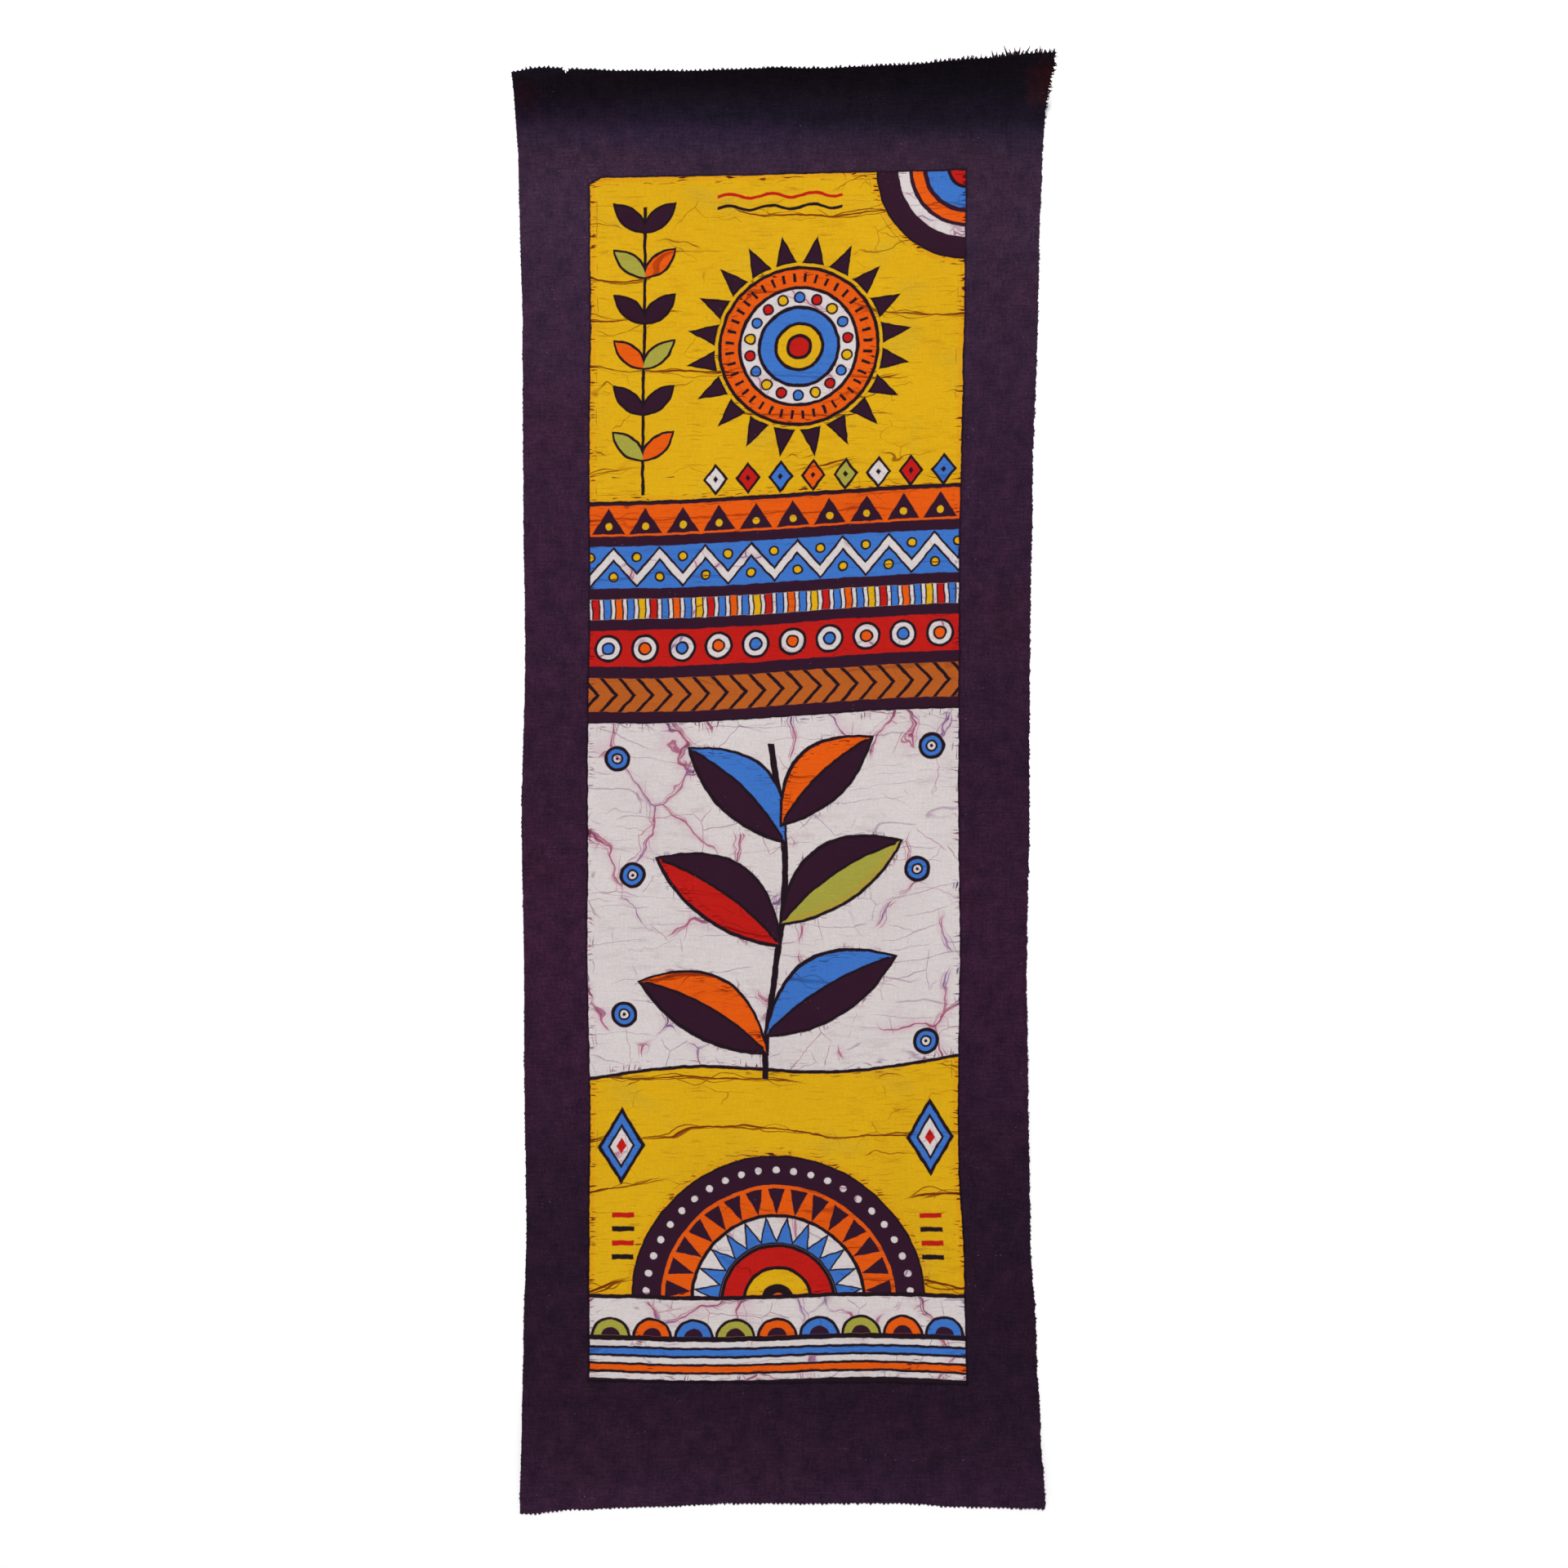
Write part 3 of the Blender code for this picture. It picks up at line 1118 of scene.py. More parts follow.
def panel_edge(picture):
    """Distance outside the panel, whose upper left corner is cut off."""
    across = abs(picture.p - PANEL_WIDTH_MM / 2) - PANEL_WIDTH_MM / 2
    upwards = abs(picture.q - PANEL_LENGTH_MM / 2) - PANEL_LENGTH_MM / 2
    corner = picture.p * CORNER_ACROSS_SLOPE + (PANEL_LENGTH_MM - picture.q) * CORNER_UP_SLOPE
    return across.most(upwards).most(CORNER_CUT_MM - corner)


PAINTERS = (
    ground,
    corner_fan,
    rosette,
    leaflets,
    lozenge_row,
    water_lines,
    stalk,
    ringed_dots,
    band_stack,
    fan,
    side_marks,
    foot_border,
)


def paint_picture(picture):
    for paint in PAINTERS:
        paint(picture)


# Noise patterns, each rising from 0 to 1 between two levels of its noise
PATTERNS = {
    # name: (across_mm, along_mm, detail, low, high)
    "wisps": (48, 12, 1.0, 0.47, 0.58),
    "short threads": (30, 30, 1.0, 0.50, 0.58),
    "level ticks": (7.5, 1.15, 0.0, 0.67, 0.74),
    "upright ticks": (1.3, 9.5, 0.0, 0.66, 0.74),
    "where level ticks are": (16, 16, 0.0, 0.42, 0.54),
    "where upright ticks are": (19, 19, 0.0, 0.56, 0.66),
    "hairs": (21.0, 1.0, 0.0, 0.76, 0.84),
    "folds": (170, 30, 1.0, 0.42, 0.51),
    "greenish clouds": (46, 34, 2.0, 0.58, 0.74),
    "violet cracks": (58, 44, 1.0, 0.52, 0.62),
    "dye clouds": (55, 70, 3.0, 0.35, 0.7),
    "smudges": (80, 50, 1.0, 0.46, 0.60),
    "warm border": (90, 80, 1.0, 0.45, 0.65),
    "specks": (1.7, 1.3, 0.0, 0.83, 0.89),
    "where specks are": (29, 23, 0.0, 0.64, 0.80),
    "worn yarn": (1.1, 1.1, 0.0, 0.3, 0.7),
}
# Soft noise that bends what is drawn over it
TREMOR = {"span": 7, "detail": 2.0, "reach": 1.3}
SHAKE = {"span": 11, "detail": 2.0, "reach": 3.0}
BENDS = (
    {"span": 75, "detail": 1.0, "reach": 36.0},
    {"span": 26, "detail": 2.0, "reach": 18.0},
)


def pattern(graph, place, name):
    across, along, detail, low, high = PATTERNS[name]
    return graph.noise(place, (across, along), detail).rise(low, high)


def bent(graph, source, place, span, detail, reach):
    """Push a place about by soft noise of its source."""
    push = graph.noise(source, (span, span), detail, output="Color")
    return push.vector("MULTIPLY_ADD", (reach, reach, 0.0), place)


# Wax cracks: what they multiply into each dye, and the sizes of their nets in millimetres
PINK_TINT = (0.58, 0.19, 0.33)
VIOLET_TINT = (0.36, 0.27, 0.56)
WARM_TINT = (0.26, 0.07, 0.40)
BLUE_TINT = (0.38, 0.34, 0.36)
WISP_TINT = (0.66, 0.54, 0.66)
HAIR_TINT = (0.66, 0.52, 0.60)
EDGE_TINT = (0.50, 0.40, 0.50)
BLUSH_TINT = (0.90, 0.68, 0.78)
VEIN_CELL_MM = (50, 62)
TWIG_CELL_MM = (34, 18)
THREAD_CELL_MM = (26, 36)
FOLD_PITCH_MM = 35
FOLD_WAVE_MM = 46
FORK_PITCH_MM = 47
WISP_PITCH_MM = 12
WISP_WAVE_MM = 66
WAVE_SPANS_MM = (150, 60)
# Each net is drawn by its own seed
VEIN_SEED = 1
TWIG_SEED = 2
THREAD_SEED = 5
STRANDS_APART_MM = 36
# How much of the bends the crossing strands follow
CROSSING_BEND = 0.12
STRANDS = (
    # seed, spread_mm, half_width_mm, strength
    (11, 0.0, 0.74, 1.0),
    (12, 9.0, 0.56, 0.90),
    (13, 15.0, 0.50, 0.80),
    (14, 22.0, 0.44, 0.70),
)


def crack_net(graph, place, cell, seed):
    """Distance in millimetres from the nearest line of an irregular net."""
    shifted = place.vector("ADD", (seed * 37.0, seed * 91.0, 0.0)).vector("DIVIDE", (*cell, 1.0))
    settings = {"voronoi_dimensions": "2D", "feature": "DISTANCE_TO_EDGE"}
    inputs = {"Vector": shifted, "Scale": 1.0, "Randomness": 1.0}
    distance = graph.add("ShaderNodeTexVoronoi", settings, inputs, "Distance")
    return distance * (cell[0] * cell[1]) ** 0.5


def level_lines(graph, place, pitch, wave, aside=0.0):
    """Distance in millimetres from the nearest of many wavy lines that run across."""
    height = graph.noise(place, WAVE_SPANS_MM, 2.0) * wave + graph.parts(place)[1] + aside
    return abs((height / pitch).math("FRACT") - 0.5) * pitch


def offset_noise(graph, place, span, seed):
    """Noise from -0.5 to 0.5, different for each seed."""
    moved = place.vector("ADD", (seed * 61.0, seed * 29.0, 0.0))
    return graph.noise(moved, (span, span), 1.0) - 0.5


def vein_strands(graph, place, warped, shown, folded):
    """Bundles of fine strands that run together, part and fork: over the white and over the yellow.

    A strand thins out where its share shown or folded falls from 1 to 0.
    """
    branching = None
    crossing = None
    straighter = place.scaled(1 - CROSSING_BEND)
    shaken = warped.vector("MULTIPLY_ADD", (CROSSING_BEND, CROSSING_BEND, 0.0), straighter)
    for seed, spread, half_width, strength in STRANDS:
        apart = offset_noise(graph, place, STRANDS_APART_MM, seed) * spread
        beside = warped.vector("ADD", graph.vector(apart, apart * -0.5))
        net = crack_net(graph, beside, VEIN_CELL_MM, VEIN_SEED) + (1 - shown) * half_width
        net = net.rise(half_width, half_width * 0.3) * strength
        gap = level_lines(graph, shaken, FOLD_PITCH_MM, FOLD_WAVE_MM, apart) + (1 - folded) * half_width
        line = gap.rise(half_width, half_width * 0.5) * strength
        branching = net if branching is None else branching.most(net)
        crossing = line if crossing is None else crossing.most(line)
    return branching, crossing


def wisps_and_threads(graph, steady):
    """Faint lines of the white field: long ones that run across and an open net of short ones."""
    across = level_lines(graph, steady, WISP_PITCH_MM, WISP_WAVE_MM).rise(0.55, 0.12)
    short = crack_net(graph, steady, THREAD_CELL_MM, THREAD_SEED).rise(0.42, 0.1)
    return across * pattern(graph, steady, "wisps"), short * pattern(graph, steady, "short threads")


def fine_cracks(picture, steady, warped, there):
    """Short ticks at the edges of shapes, thin twigs and long pale hairs."""
    graph = picture.graph
    near = picture.near_ink.rise(6.5, 1.5)
    twigs = crack_net(graph, warped, TWIG_CELL_MM, TWIG_SEED).rise(0.46, 0.1) * there.rise(0.56, 0.68)
    level_ticks = pattern(graph, steady, "level ticks") * near
    level_ticks = level_ticks * pattern(graph, picture.place, "where level ticks are")
    upright_ticks = pattern(graph, steady, "upright ticks") * near
    upright_ticks = upright_ticks * pattern(graph, picture.place, "where upright ticks are")
    return twigs, level_ticks, upright_ticks, pattern(graph, steady, "hairs")


def crack_picture(picture):
    """Lay the fine dark veins of cracked wax over the painted panel."""
    graph = picture.graph
    place = picture.place
    red, green, blue = graph.parts(picture.colour)
    whiteness = (red * blue).rise(0.04, 0.22)
    yellowness = (green - blue).rise(0.12, 0.32)
    warmth = (red - blue).rise(0.25, 0.45)
    blueness = (blue - red).rise(0.15, 0.30)
    near = picture.near_ink.rise(9.0, 1.0)

    steady = bent(graph, place, place, **SHAKE)
    warped = steady
    for bend in BENDS:
        warped = bent(graph, place, warped, **bend)
    there = graph.noise(place, (44, 26), 2.0)
    broken = (graph.noise(place, (30, 24), 1.0) - 0.5) * 0.6
    shown = (graph.noise(place, (95, 60), 1.0) + broken).rise(0.40, 0.52)
    branching, crossing = vein_strands(graph, place, warped, shown, pattern(graph, place, "folds"))
    twigs, level_ticks, upright_ticks, hairs = fine_cracks(picture, steady, warped, there)
    across, short = wisps_and_threads(graph, steady)

    blush = crack_net(graph, warped, VEIN_CELL_MM, VEIN_SEED).rise(8.5, 0.0) * shown * whiteness
    colour = graph.blend(picture.colour, BLUSH_TINT, blush * blush * 0.75, "MULTIPLY")
    greenish = pattern(graph, place, "greenish clouds") * yellowness
    colour = graph.blend(colour, picture.dyes.green, greenish * 0.16)
    rim = picture.near_ink.rise(3.4, 2.7) * yellowness
    colour = graph.blend(colour, picture.dyes.orange, rim * 0.16)
    colour = graph.blend(colour, HAIR_TINT, hairs * warmth.most(blueness) * 0.6, "MULTIPLY")
    colour = graph.blend(colour, WISP_TINT, across * whiteness * 0.9, "MULTIPLY")

    on_white = branching.most(twigs * 0.6).most(short * 0.7)
    on_white = on_white.most(upright_ticks).most(level_ticks * 0.7) * whiteness
    ghost = abs(picture.near_ink - 4.3).rise(0.30, 0.08) * there.rise(0.54, 0.64) * 0.6
    forks = level_lines(graph, warped, FORK_PITCH_MM, FOLD_WAVE_MM).rise(0.75, 0.2)
    forks = forks * there.rise(0.52, 0.62) * 0.8
    on_colour = crossing.most(forks) * yellowness.times_plus(0.4, 0.6)
    on_colour = on_colour.most(twigs * 0.5).most(level_ticks).most(ghost)
    strength = on_white.most(on_colour * warmth.most(blueness * 0.8))

    white_tint = graph.blend(PINK_TINT, VIOLET_TINT, pattern(graph, place, "violet cracks"))
    tint = graph.blend(WARM_TINT, white_tint, whiteness)
    tint = graph.blend(tint, BLUE_TINT, blueness)
    colour = graph.blend(colour, tint, strength, "MULTIPLY")
    picture.colour = graph.blend(colour, EDGE_TINT, strength * near, "MULTIPLY")


CLOUD_TINT = (0.94, 0.92, 0.93)
STREAK_TINT = (0.90, 0.83, 0.86)


def soak(graph, place, colour):
    """Uneven take-up of the panel's dye: broad clouds and soft streaks along the weft."""
    colour = graph.blend(colour, CLOUD_TINT, pattern(graph, place, "dye clouds") * 0.8, "MULTIPLY")
    streaks = graph.noise(place, (17, 4.5), 3.0, 0.6).rise(0.52, 0.72)
    smudged = streaks * pattern(graph, place, "smudges")
    return graph.blend(colour, STREAK_TINT, smudged * 0.8, "MULTIPLY")


# Depth of the border's colour at stations along the cloth, as a share of the border's dye: partly the dye's
# own depth and partly painted light, lighter towards the upper part and darker towards the foot, with painted
# shade on the curl past 925 mm
BORDER_DYE_AND_LIGHT_STATIONS = (
    # along_mm, share
    (0, 0.82),
    (36, 0.63),
    (75, 0.53),
    (190, 0.53),
    (300, 0.74),
    (400, 0.83),
    (500, 0.73),
    (606, 0.82),
    (700, 0.88),
    (813, 1.04),
    (880, 1.17),
    (925, 1.02),
    (944, 0.53),
    (962, 0.48),
    (980, 0.61),
)
DEEPEST_SHARE = 2.0
# Broad tints that multiply into the border's dye, some of them painted light and shade, and the stretches in
# millimetres over which they come in
# Painted light: the left side of the border is lighter, as if lit from the left
LEFT_LIGHT_TINT = (1.14, 1.12, 1.10)
MIDDLE_TINT = (1.12, 0.91, 0.98)
UPPER_TINT = (0.90, 1.15, 0.95)
# Painted shade on the curl: darker and bluer to the left as it turns away from the light, and greener at the
# curled end
CURL_SHADE_TINT_RIGHT = (0.58, 0.78, 0.86)
CURL_SHADE_TINT_LEFT = (0.84, 1.02, 1.24)
CURLED_END_SHADE_TINT = (1.03, 1.10, 0.88)
WARM_BORDER_TINT = (1.08, 0.98, 0.92)
TO_THE_LEFT = (80, -120)
INTO_THE_MIDDLE = (200, 300)
OUT_OF_THE_MIDDLE = (760, 420)
TO_THE_UPPER_PART = (720, 890)
ONTO_THE_CURL = (916, 938)
TO_THE_CURLED_END = (945, 962)
# Dark and light blotches
MOTTLE_DARK = (0.70, 0.74, 0.82)
MOTTLE_LIGHT = (1.30, 1.24, 1.24)
# Reddish brown places near two corners, where little of the last dye took
BROWN_PATCHES = (
    # across, along, half_across, half_along, strength
    (177, 968, 13, 21, 0.85),
    (-173, 957, 9, 15, 0.4),
)
PATCH_RAGGEDNESS = 1.8


def border_colour(graph, cut, dyes):
    """The dark border's dye at a place on the cut, in millimetres, with painted light and shade along the
    cloth and on its curl.
    """
    across, along, height = graph.parts(cut)
    # Depth along the cloth: the dye's own, with painted light towards the upper part and painted shade on the
    # curl
    stations = [(along_mm / 1000, (share / DEEPEST_SHARE,) * 3) for along_mm, share in BORDER_DYE_AND_LIGHT_STATIONS]
    settings = {"stops": stations, "interpolation": "EASE"}
    dye_and_light = graph.add("ShaderNodeValToRGB", settings, {0: along / 1000.0})
    colour = graph.blend(dye_and_light, [DEEPEST_SHARE * channel for channel in dyes.border], 1.0, "MULTIPLY")
    leftward = across.rise(*TO_THE_LEFT)
    middle = along.rise(*INTO_THE_MIDDLE).least(along.rise(*OUT_OF_THE_MIDDLE))
    mottle = graph.noise(cut, (12, 15), 5.0, 0.72)
    # The left tint and the curl's tints are painted light and shade; the others are the dye's own
    for tint, share in (
        (LEFT_LIGHT_TINT, leftward),
        (MIDDLE_TINT, middle),
        (UPPER_TINT, along.rise(*TO_THE_UPPER_PART)),
        # painted shade on the curl and its end
        (graph.blend(CURL_SHADE_TINT_RIGHT, CURL_SHADE_TINT_LEFT, leftward), along.rise(*ONTO_THE_CURL)),
        (CURLED_END_SHADE_TINT, along.rise(*TO_THE_CURLED_END)),
        (MOTTLE_DARK, mottle.rise(0.50, 0.70)),
        (MOTTLE_LIGHT, mottle.rise(0.50, 0.30)),
        (WARM_BORDER_TINT, pattern(graph, cut, "warm border") * 0.7),
    ):
        colour = graph.blend(colour, tint, share, "MULTIPLY")
    for centre_across, centre_along, half_across, half_along, strength in BROWN_PATCHES:
        offset = cut.vector("SUBTRACT", (centre_across, centre_along, 0.0))
        stretched = offset.vector("DIVIDE", (half_across, half_along, 1.0))
        reach = stretched.vector("LENGTH", result=1) + (mottle - 0.5) * PATCH_RAGGEDNESS
        colour = graph.blend(colour, dyes.brown, reach.rise(1.2, 0.3) * strength)
    return colour


# How far the tone of single yarns strays, on the panel and on the border
PANEL_STREAKS = 0.042
BORDER_STREAKS = 0.20
# The border is darkest in a thin line beside the panel
BORDER_RIM_TINT = (0.42, 0.42, 0.44)
SPECK_STRENGTH = 0.35


def lighter_and_darker(graph, colour, strength, light, dark):
    """Lighten a colour by one share and darken it by another."""
    colour = graph.blend(colour, (1.0 + strength,) * 3, light, "MULTIPLY")
    return graph.blend(colour, (1.0 - strength,) * 3, dark, "MULTIPLY")


def yarn_streaks(graph, cut, colour, strength):
    """Single yarns a shade lighter or darker than their neighbours, most of all along the weft."""
    warp = graph.noise(cut, (1.5, 9.0), 3.0, 0.7)
    weft = graph.noise(cut, (14.0, 1.3), 3.0, 0.7)
    light = (warp * 0.7 + weft).rise(0.65, 1.05)
    colour = lighter_and_darker(graph, colour, strength, light, 1.0 - light)
    slubs = graph.noise(cut, (1.7, 1.5), 1.0, 0.7)
    return lighter_and_darker(graph, colour, strength, slubs.rise(0.50, 0.72), slubs.rise(0.50, 0.28))


def cloth_colour(graph, cut, picture_metres, dyes):
    """The whole dyed face: the panel in its dark border, cracked, soaked and streaked, with the border's
    painted light and shade.
    """
    place = picture_metres.scaled(1000.0)
    centred = (TREMOR["reach"] / 2, TREMOR["reach"] / 2, 0.0)
    place = bent(graph, place, place, **TREMOR).vector("SUBTRACT", centred)
    picture = Picture(graph, place, dyes)
    outside = panel_edge(picture)
    picture.cracks_at(outside)
    paint_picture(picture)
    crack_picture(picture)
    panel = yarn_streaks(graph, cut, soak(graph, place, picture.colour), PANEL_STREAKS)
    border = yarn_streaks(graph, cut, border_colour(graph, cut, dyes), BORDER_STREAKS)
    border = graph.blend(border, BORDER_RIM_TINT, outside.rise(1.9, 0.8), "MULTIPLY")
    cover = outside.times_plus(1 / SOFT_EDGE_MM, 0.5, clamp=True)
    colour = graph.blend(panel, border, cover)
    specks = pattern(graph, cut, "specks") * pattern(graph, cut, "where specks are")
    return graph.blend(colour, dyes.speck, specks * SPECK_STRENGTH)


# Relief of the weave and of a single yarn's twist
WEAVE_DEPTH = 0.14 * MM
WEAVE_STRENGTH = 0.5
TWIST_DEPTH = 0.05 * MM
TWIST_STRENGTH = 0.4
YARN_LENGTH_MM = 5.0
YARN_WIDTH_MM = 0.55


def bump_normal(graph, height, strength, dye_and_light):
    inputs = {"Strength": strength, "Distance": dye_and_light, "Height": height}
    return graph.add("ShaderNodeBump", inputs=inputs)


def weave_height(graph, cut):
    """Slubby yarns crossing at right angles, and the faint creases left by ironing."""
    warp = graph.noise(cut, (YARN_WIDTH_MM, YARN_LENGTH_MM), 1.0)
    weft = graph.noise(cut, (YARN_LENGTH_MM, YARN_WIDTH_MM), 1.0)
    crease = abs(graph.noise(cut, (60, 110), 2.0) - 0.5).rise(0.03, 0.0)
    return warp + weft + crease * 0.5


def map_place(graph, name, scale=1.0):
    place = graph.add("ShaderNodeUVMap", {"uv_map": name})
    return place.scaled(scale)


MATT_SPECULAR = 0.06


def new_material(name):
    material = bpy.data.materials.new(name)
    material.use_nodes = True
    return material, Graph(material.node_tree), material.node_tree.nodes["Principled BSDF"]


def cotton_material(dyes):
    material, graph, shader = new_material("batik_cotton")
    cut = map_place(graph, CUT_MAP, 1000.0)
    colour = cloth_colour(graph, cut, map_place(graph, PICTURE_MAP), dyes)
    graph.feed(shader.inputs["Base Color"], colour)
    patchy = graph.noise(cut, (12, 12), 2.0)
    graph.feed(shader.inputs["Roughness"], patchy.times_plus(0.16, 0.80))
    weave = bump_normal(graph, weave_height(graph, cut), WEAVE_STRENGTH, WEAVE_DEPTH)
    graph.feed(shader.inputs["Normal"], weave)
    shader.inputs["Specular IOR Level"].default_value = MATT_SPECULAR
    shader.inputs["Sheen Weight"].default_value = 0.01
    shader.inputs["Sheen Roughness"].default_value = 0.6
    return material


def yarn_material(dyes):
    """Frayed yarn: the border's dye with its painted light and shade, and worn paler tips."""
    material, graph, shader = new_material("frayed_yarn")
    cut = map_place(graph, CUT_MAP, 1000.0)
    worn = pattern(graph, cut, "worn yarn") * 0.25
    colour = graph.blend(border_colour(graph, cut, dyes), dyes.worn_yarn, worn)
    graph.feed(shader.inputs["Base Color"], colour)
    twist = graph.noise(cut, (0.3, 0.3), 1.0)
    graph.feed(shader.inputs["Roughness"], twist.times_plus(0.1, 0.84))
    graph.feed(shader.inputs["Normal"], bump_normal(graph, twist, TWIST_STRENGTH, TWIST_DEPTH))
    shader.inputs["Specular IOR Level"].default_value = MATT_SPECULAR
    return material


# How far the thread ends stand out of each edge, as a share of their full length
FRAY_LEFT = 0.38
FRAY_RIGHT = 0.50
FRAY_FOOT = 0.62
FRAY_HEAD_LEFT = 0.50
FRAY_HEAD_RIGHT = 0.72
FRAY_HEAD_SPAN = 120 * MM
FRAY_CORNER = 0.6
FRAY_CORNER_PLACE = (178 * MM, 983 * MM)
FRAY_CORNER_SPAN = 44 * MM
FRAY_LOOSE_HEAD = 0.7
FRAY_LOOSE_SIDE = 0.8
FRAY_TUFTS_HEAD = 1.0
FRAY_TUFTS_SIDE = 0.62
# How far the threads rise off the cloth's face: those of the curled end hang away from it
LIFT = 0.25
LIFT_HEAD = -1.2
LIFT_LOOSE = 0.35
LIFT_LOOSE_HEAD = -0.8
# Where loose threads and clumped spikes start and end, as shares of the end's and the side's length
LOOSE_HEAD_START = 0.86
LOOSE_SIDE_START = 0.955
TUFTS_HEAD_START = 0.89
TUFTS_HEAD_END = 0.955
TUFTS_SIDE_START = 0.962
TUFTS_CORNER_GAP = 3
# How deep in the cloth a thread is rooted
ROOT_DEPTH = 0.4 * MM


class EdgeRun:
    """A run of points along the cloth's edge, for threads to stand on."""

    def __init__(self, cloth, places, step_inside, fray, lift=LIFT):
        """places holds the edge's rows and columns, and fray gives each place's share of the full length."""
        self.reach = []
        self.run_way = []
        self.points = []
        self.outward = []
        self.upward = []
        self.cuts = []
        self.fray = []
        self.lift = [lift] * len(places)
        run = cloth.middle(*places[-1]) - cloth.middle(*places[0])
        for row, column in places:
            edge = cloth.middle(row, column)
            upward = cloth.normals[row][column].copy()
            outward = (edge - cloth.middle(row + step_inside[0], column + step_inside[1])).normalized()
            point = edge - outward * ROOT_DEPTH
            step = (point - self.points[-1]).length if self.points else 0.0
            self.reach.append(self.reach[-1] + step if self.reach else 0.0)
            self.points.append(point)
            self.run_way.append(1.0 if run.dot(outward.cross(upward)) > 0 else -1.0)
            self.outward.append(outward)
            self.upward.append(upward)
            self.cuts.append(cloth.cut[row][column])
            self.fray.append(fray(*cloth.cut[row][column]))


def corner_fray(across, along, base):
    """More fray close to the curled end's right corner."""
    gap = math.hypot(across - FRAY_CORNER_PLACE[0], along - FRAY_CORNER_PLACE[1])
    return base + FRAY_CORNER * eased(1 - gap / FRAY_CORNER_SPAN)


def head_fray(across, along):
    """The curled end frays more and more from its middle to its right."""
    base = between(FRAY_HEAD_LEFT, FRAY_HEAD_RIGHT, eased(across / FRAY_HEAD_SPAN))
    return corner_fray(across, along, base)


def right_fray(across, along):
    return corner_fray(across, along, FRAY_RIGHT)


def even_fray(share):
    return lambda across, along: share


def left_run(cloth):
    places = [(row, 0) for row in range(cloth.rows + 1)]
    return EdgeRun(cloth, places, (0, 1), even_fray(FRAY_LEFT))


def right_run(cloth, start, end, fray, lift=LIFT):
    last = len(cloth.shares) - 1
    return EdgeRun(cloth, [(row, last) for row in range(start, end)], (0, -1), fray, lift)


def foot_run(cloth):
    places = [(0, column) for column in range(len(cloth.shares))]
    return EdgeRun(cloth, places, (1, 0), even_fray(FRAY_FOOT))


def head_run(cloth, start, end, fray, lift=LIFT_HEAD):
    return EdgeRun(cloth, [(cloth.rows, column) for column in range(start, end)], (-1, 0), fray, lift)


def side_runs(cloth):
    return [left_run(cloth), right_run(cloth, 0, cloth.rows + 1, right_fray)]


def end_runs(cloth):
    return [foot_run(cloth), head_run(cloth, 0, len(cloth.shares), head_fray)]


def loose_runs(cloth):
    """The stretches of edge from which whole loose threads hang."""
    last = len(cloth.shares) - 1
    return [
        head_run(cloth, round(last * LOOSE_HEAD_START), last + 1,
                 even_fray(FRAY_LOOSE_HEAD), LIFT_LOOSE_HEAD),
        right_run(cloth, round(cloth.rows * LOOSE_SIDE_START), cloth.rows + 1,
                  even_fray(FRAY_LOOSE_SIDE), LIFT_LOOSE),
    ]


def tuft_runs(cloth):
    """The stretches of edge beside the frayed corner where yarn ends clump into spikes."""
    last = len(cloth.shares) - 1
    return [
        head_run(cloth, round(last * TUFTS_HEAD_START), round(last * TUFTS_HEAD_END),
                 even_fray(FRAY_TUFTS_HEAD)),
        right_run(cloth, round(cloth.rows * TUFTS_SIDE_START), cloth.rows - TUFTS_CORNER_GAP,
                  even_fray(FRAY_TUFTS_SIDE)),
    ]


def run_mesh(name, runs):
    """A mesh of bare edges with what the thread tree reads at each point."""
    data = bpy.data.meshes.new(name)
    points = [point for run in runs for point in run.points]
    edges = []
    start = 0
    for run in runs:
        edges += [(start + step, start + step + 1) for step in range(len(run.points) - 1)]
        start += len(run.points)
    data.from_pydata(points, edges, [])
    for key in ("outward", "upward"):
        layer = data.attributes.new(key, "FLOAT_VECTOR", "POINT")
        layer.data.foreach_set("vector", [value for run in runs for v in getattr(run, key) for value in v])
    layer = data.attributes.new("cut_place", "FLOAT_VECTOR", "POINT")
    layer.data.foreach_set("vector", [value for run in runs for cut in run.cuts for value in (*cut, 0.0)])
    for key in ("fray", "lift", "reach", "run_way"):
        layer = data.attributes.new(key, "FLOAT", "POINT")
        layer.data.foreach_set("value", [value for run in runs for value in getattr(run, key)])
    return data


THREAD_INPUTS = (
    # name, kind, default
    ("Pitch", "NodeSocketFloat", 0.0008),
    ("Length", "NodeSocketFloat", 0.002),
    ("Turn", "NodeSocketFloat", 0.9),
    ("Splay", "NodeSocketFloat", 0.38),
    ("Radius", "NodeSocketFloat", 0.00013),
    ("Tuft", "NodeSocketFloat", 0.0030),
    ("Gather", "NodeSocketFloat", 0.9),
    ("Evenness", "NodeSocketFloat", 0.25),
    ("Lean", "NodeSocketFloat", 0.0),
    ("Taper", "NodeSocketFloat", 0.45),
    ("Points", "NodeSocketInt", 5),
    ("Seed", "NodeSocketInt", 1),
    ("Yarn", "NodeSocketMaterial", None),
)


# What each thread draws for itself, as a share of the size it is drawn for
THREAD_CHANCES = (
    # name, low, high
    ("own_length", 0.55, 1.0),
    ("own_turn", -1.0, 1.0),
    ("own_splay", -1.0, 1.0),
    ("own_rise", 0.4, 1.0),
)
LEAST_TURN = 0.05
THREAD_SIDES = 3
# The bake's image gives each thread a tile of its own
TILE_COLUMNS = 64
TILE_ROWS = 48
TILE_FILL = 0.6
TILE_MARGIN = 0.2


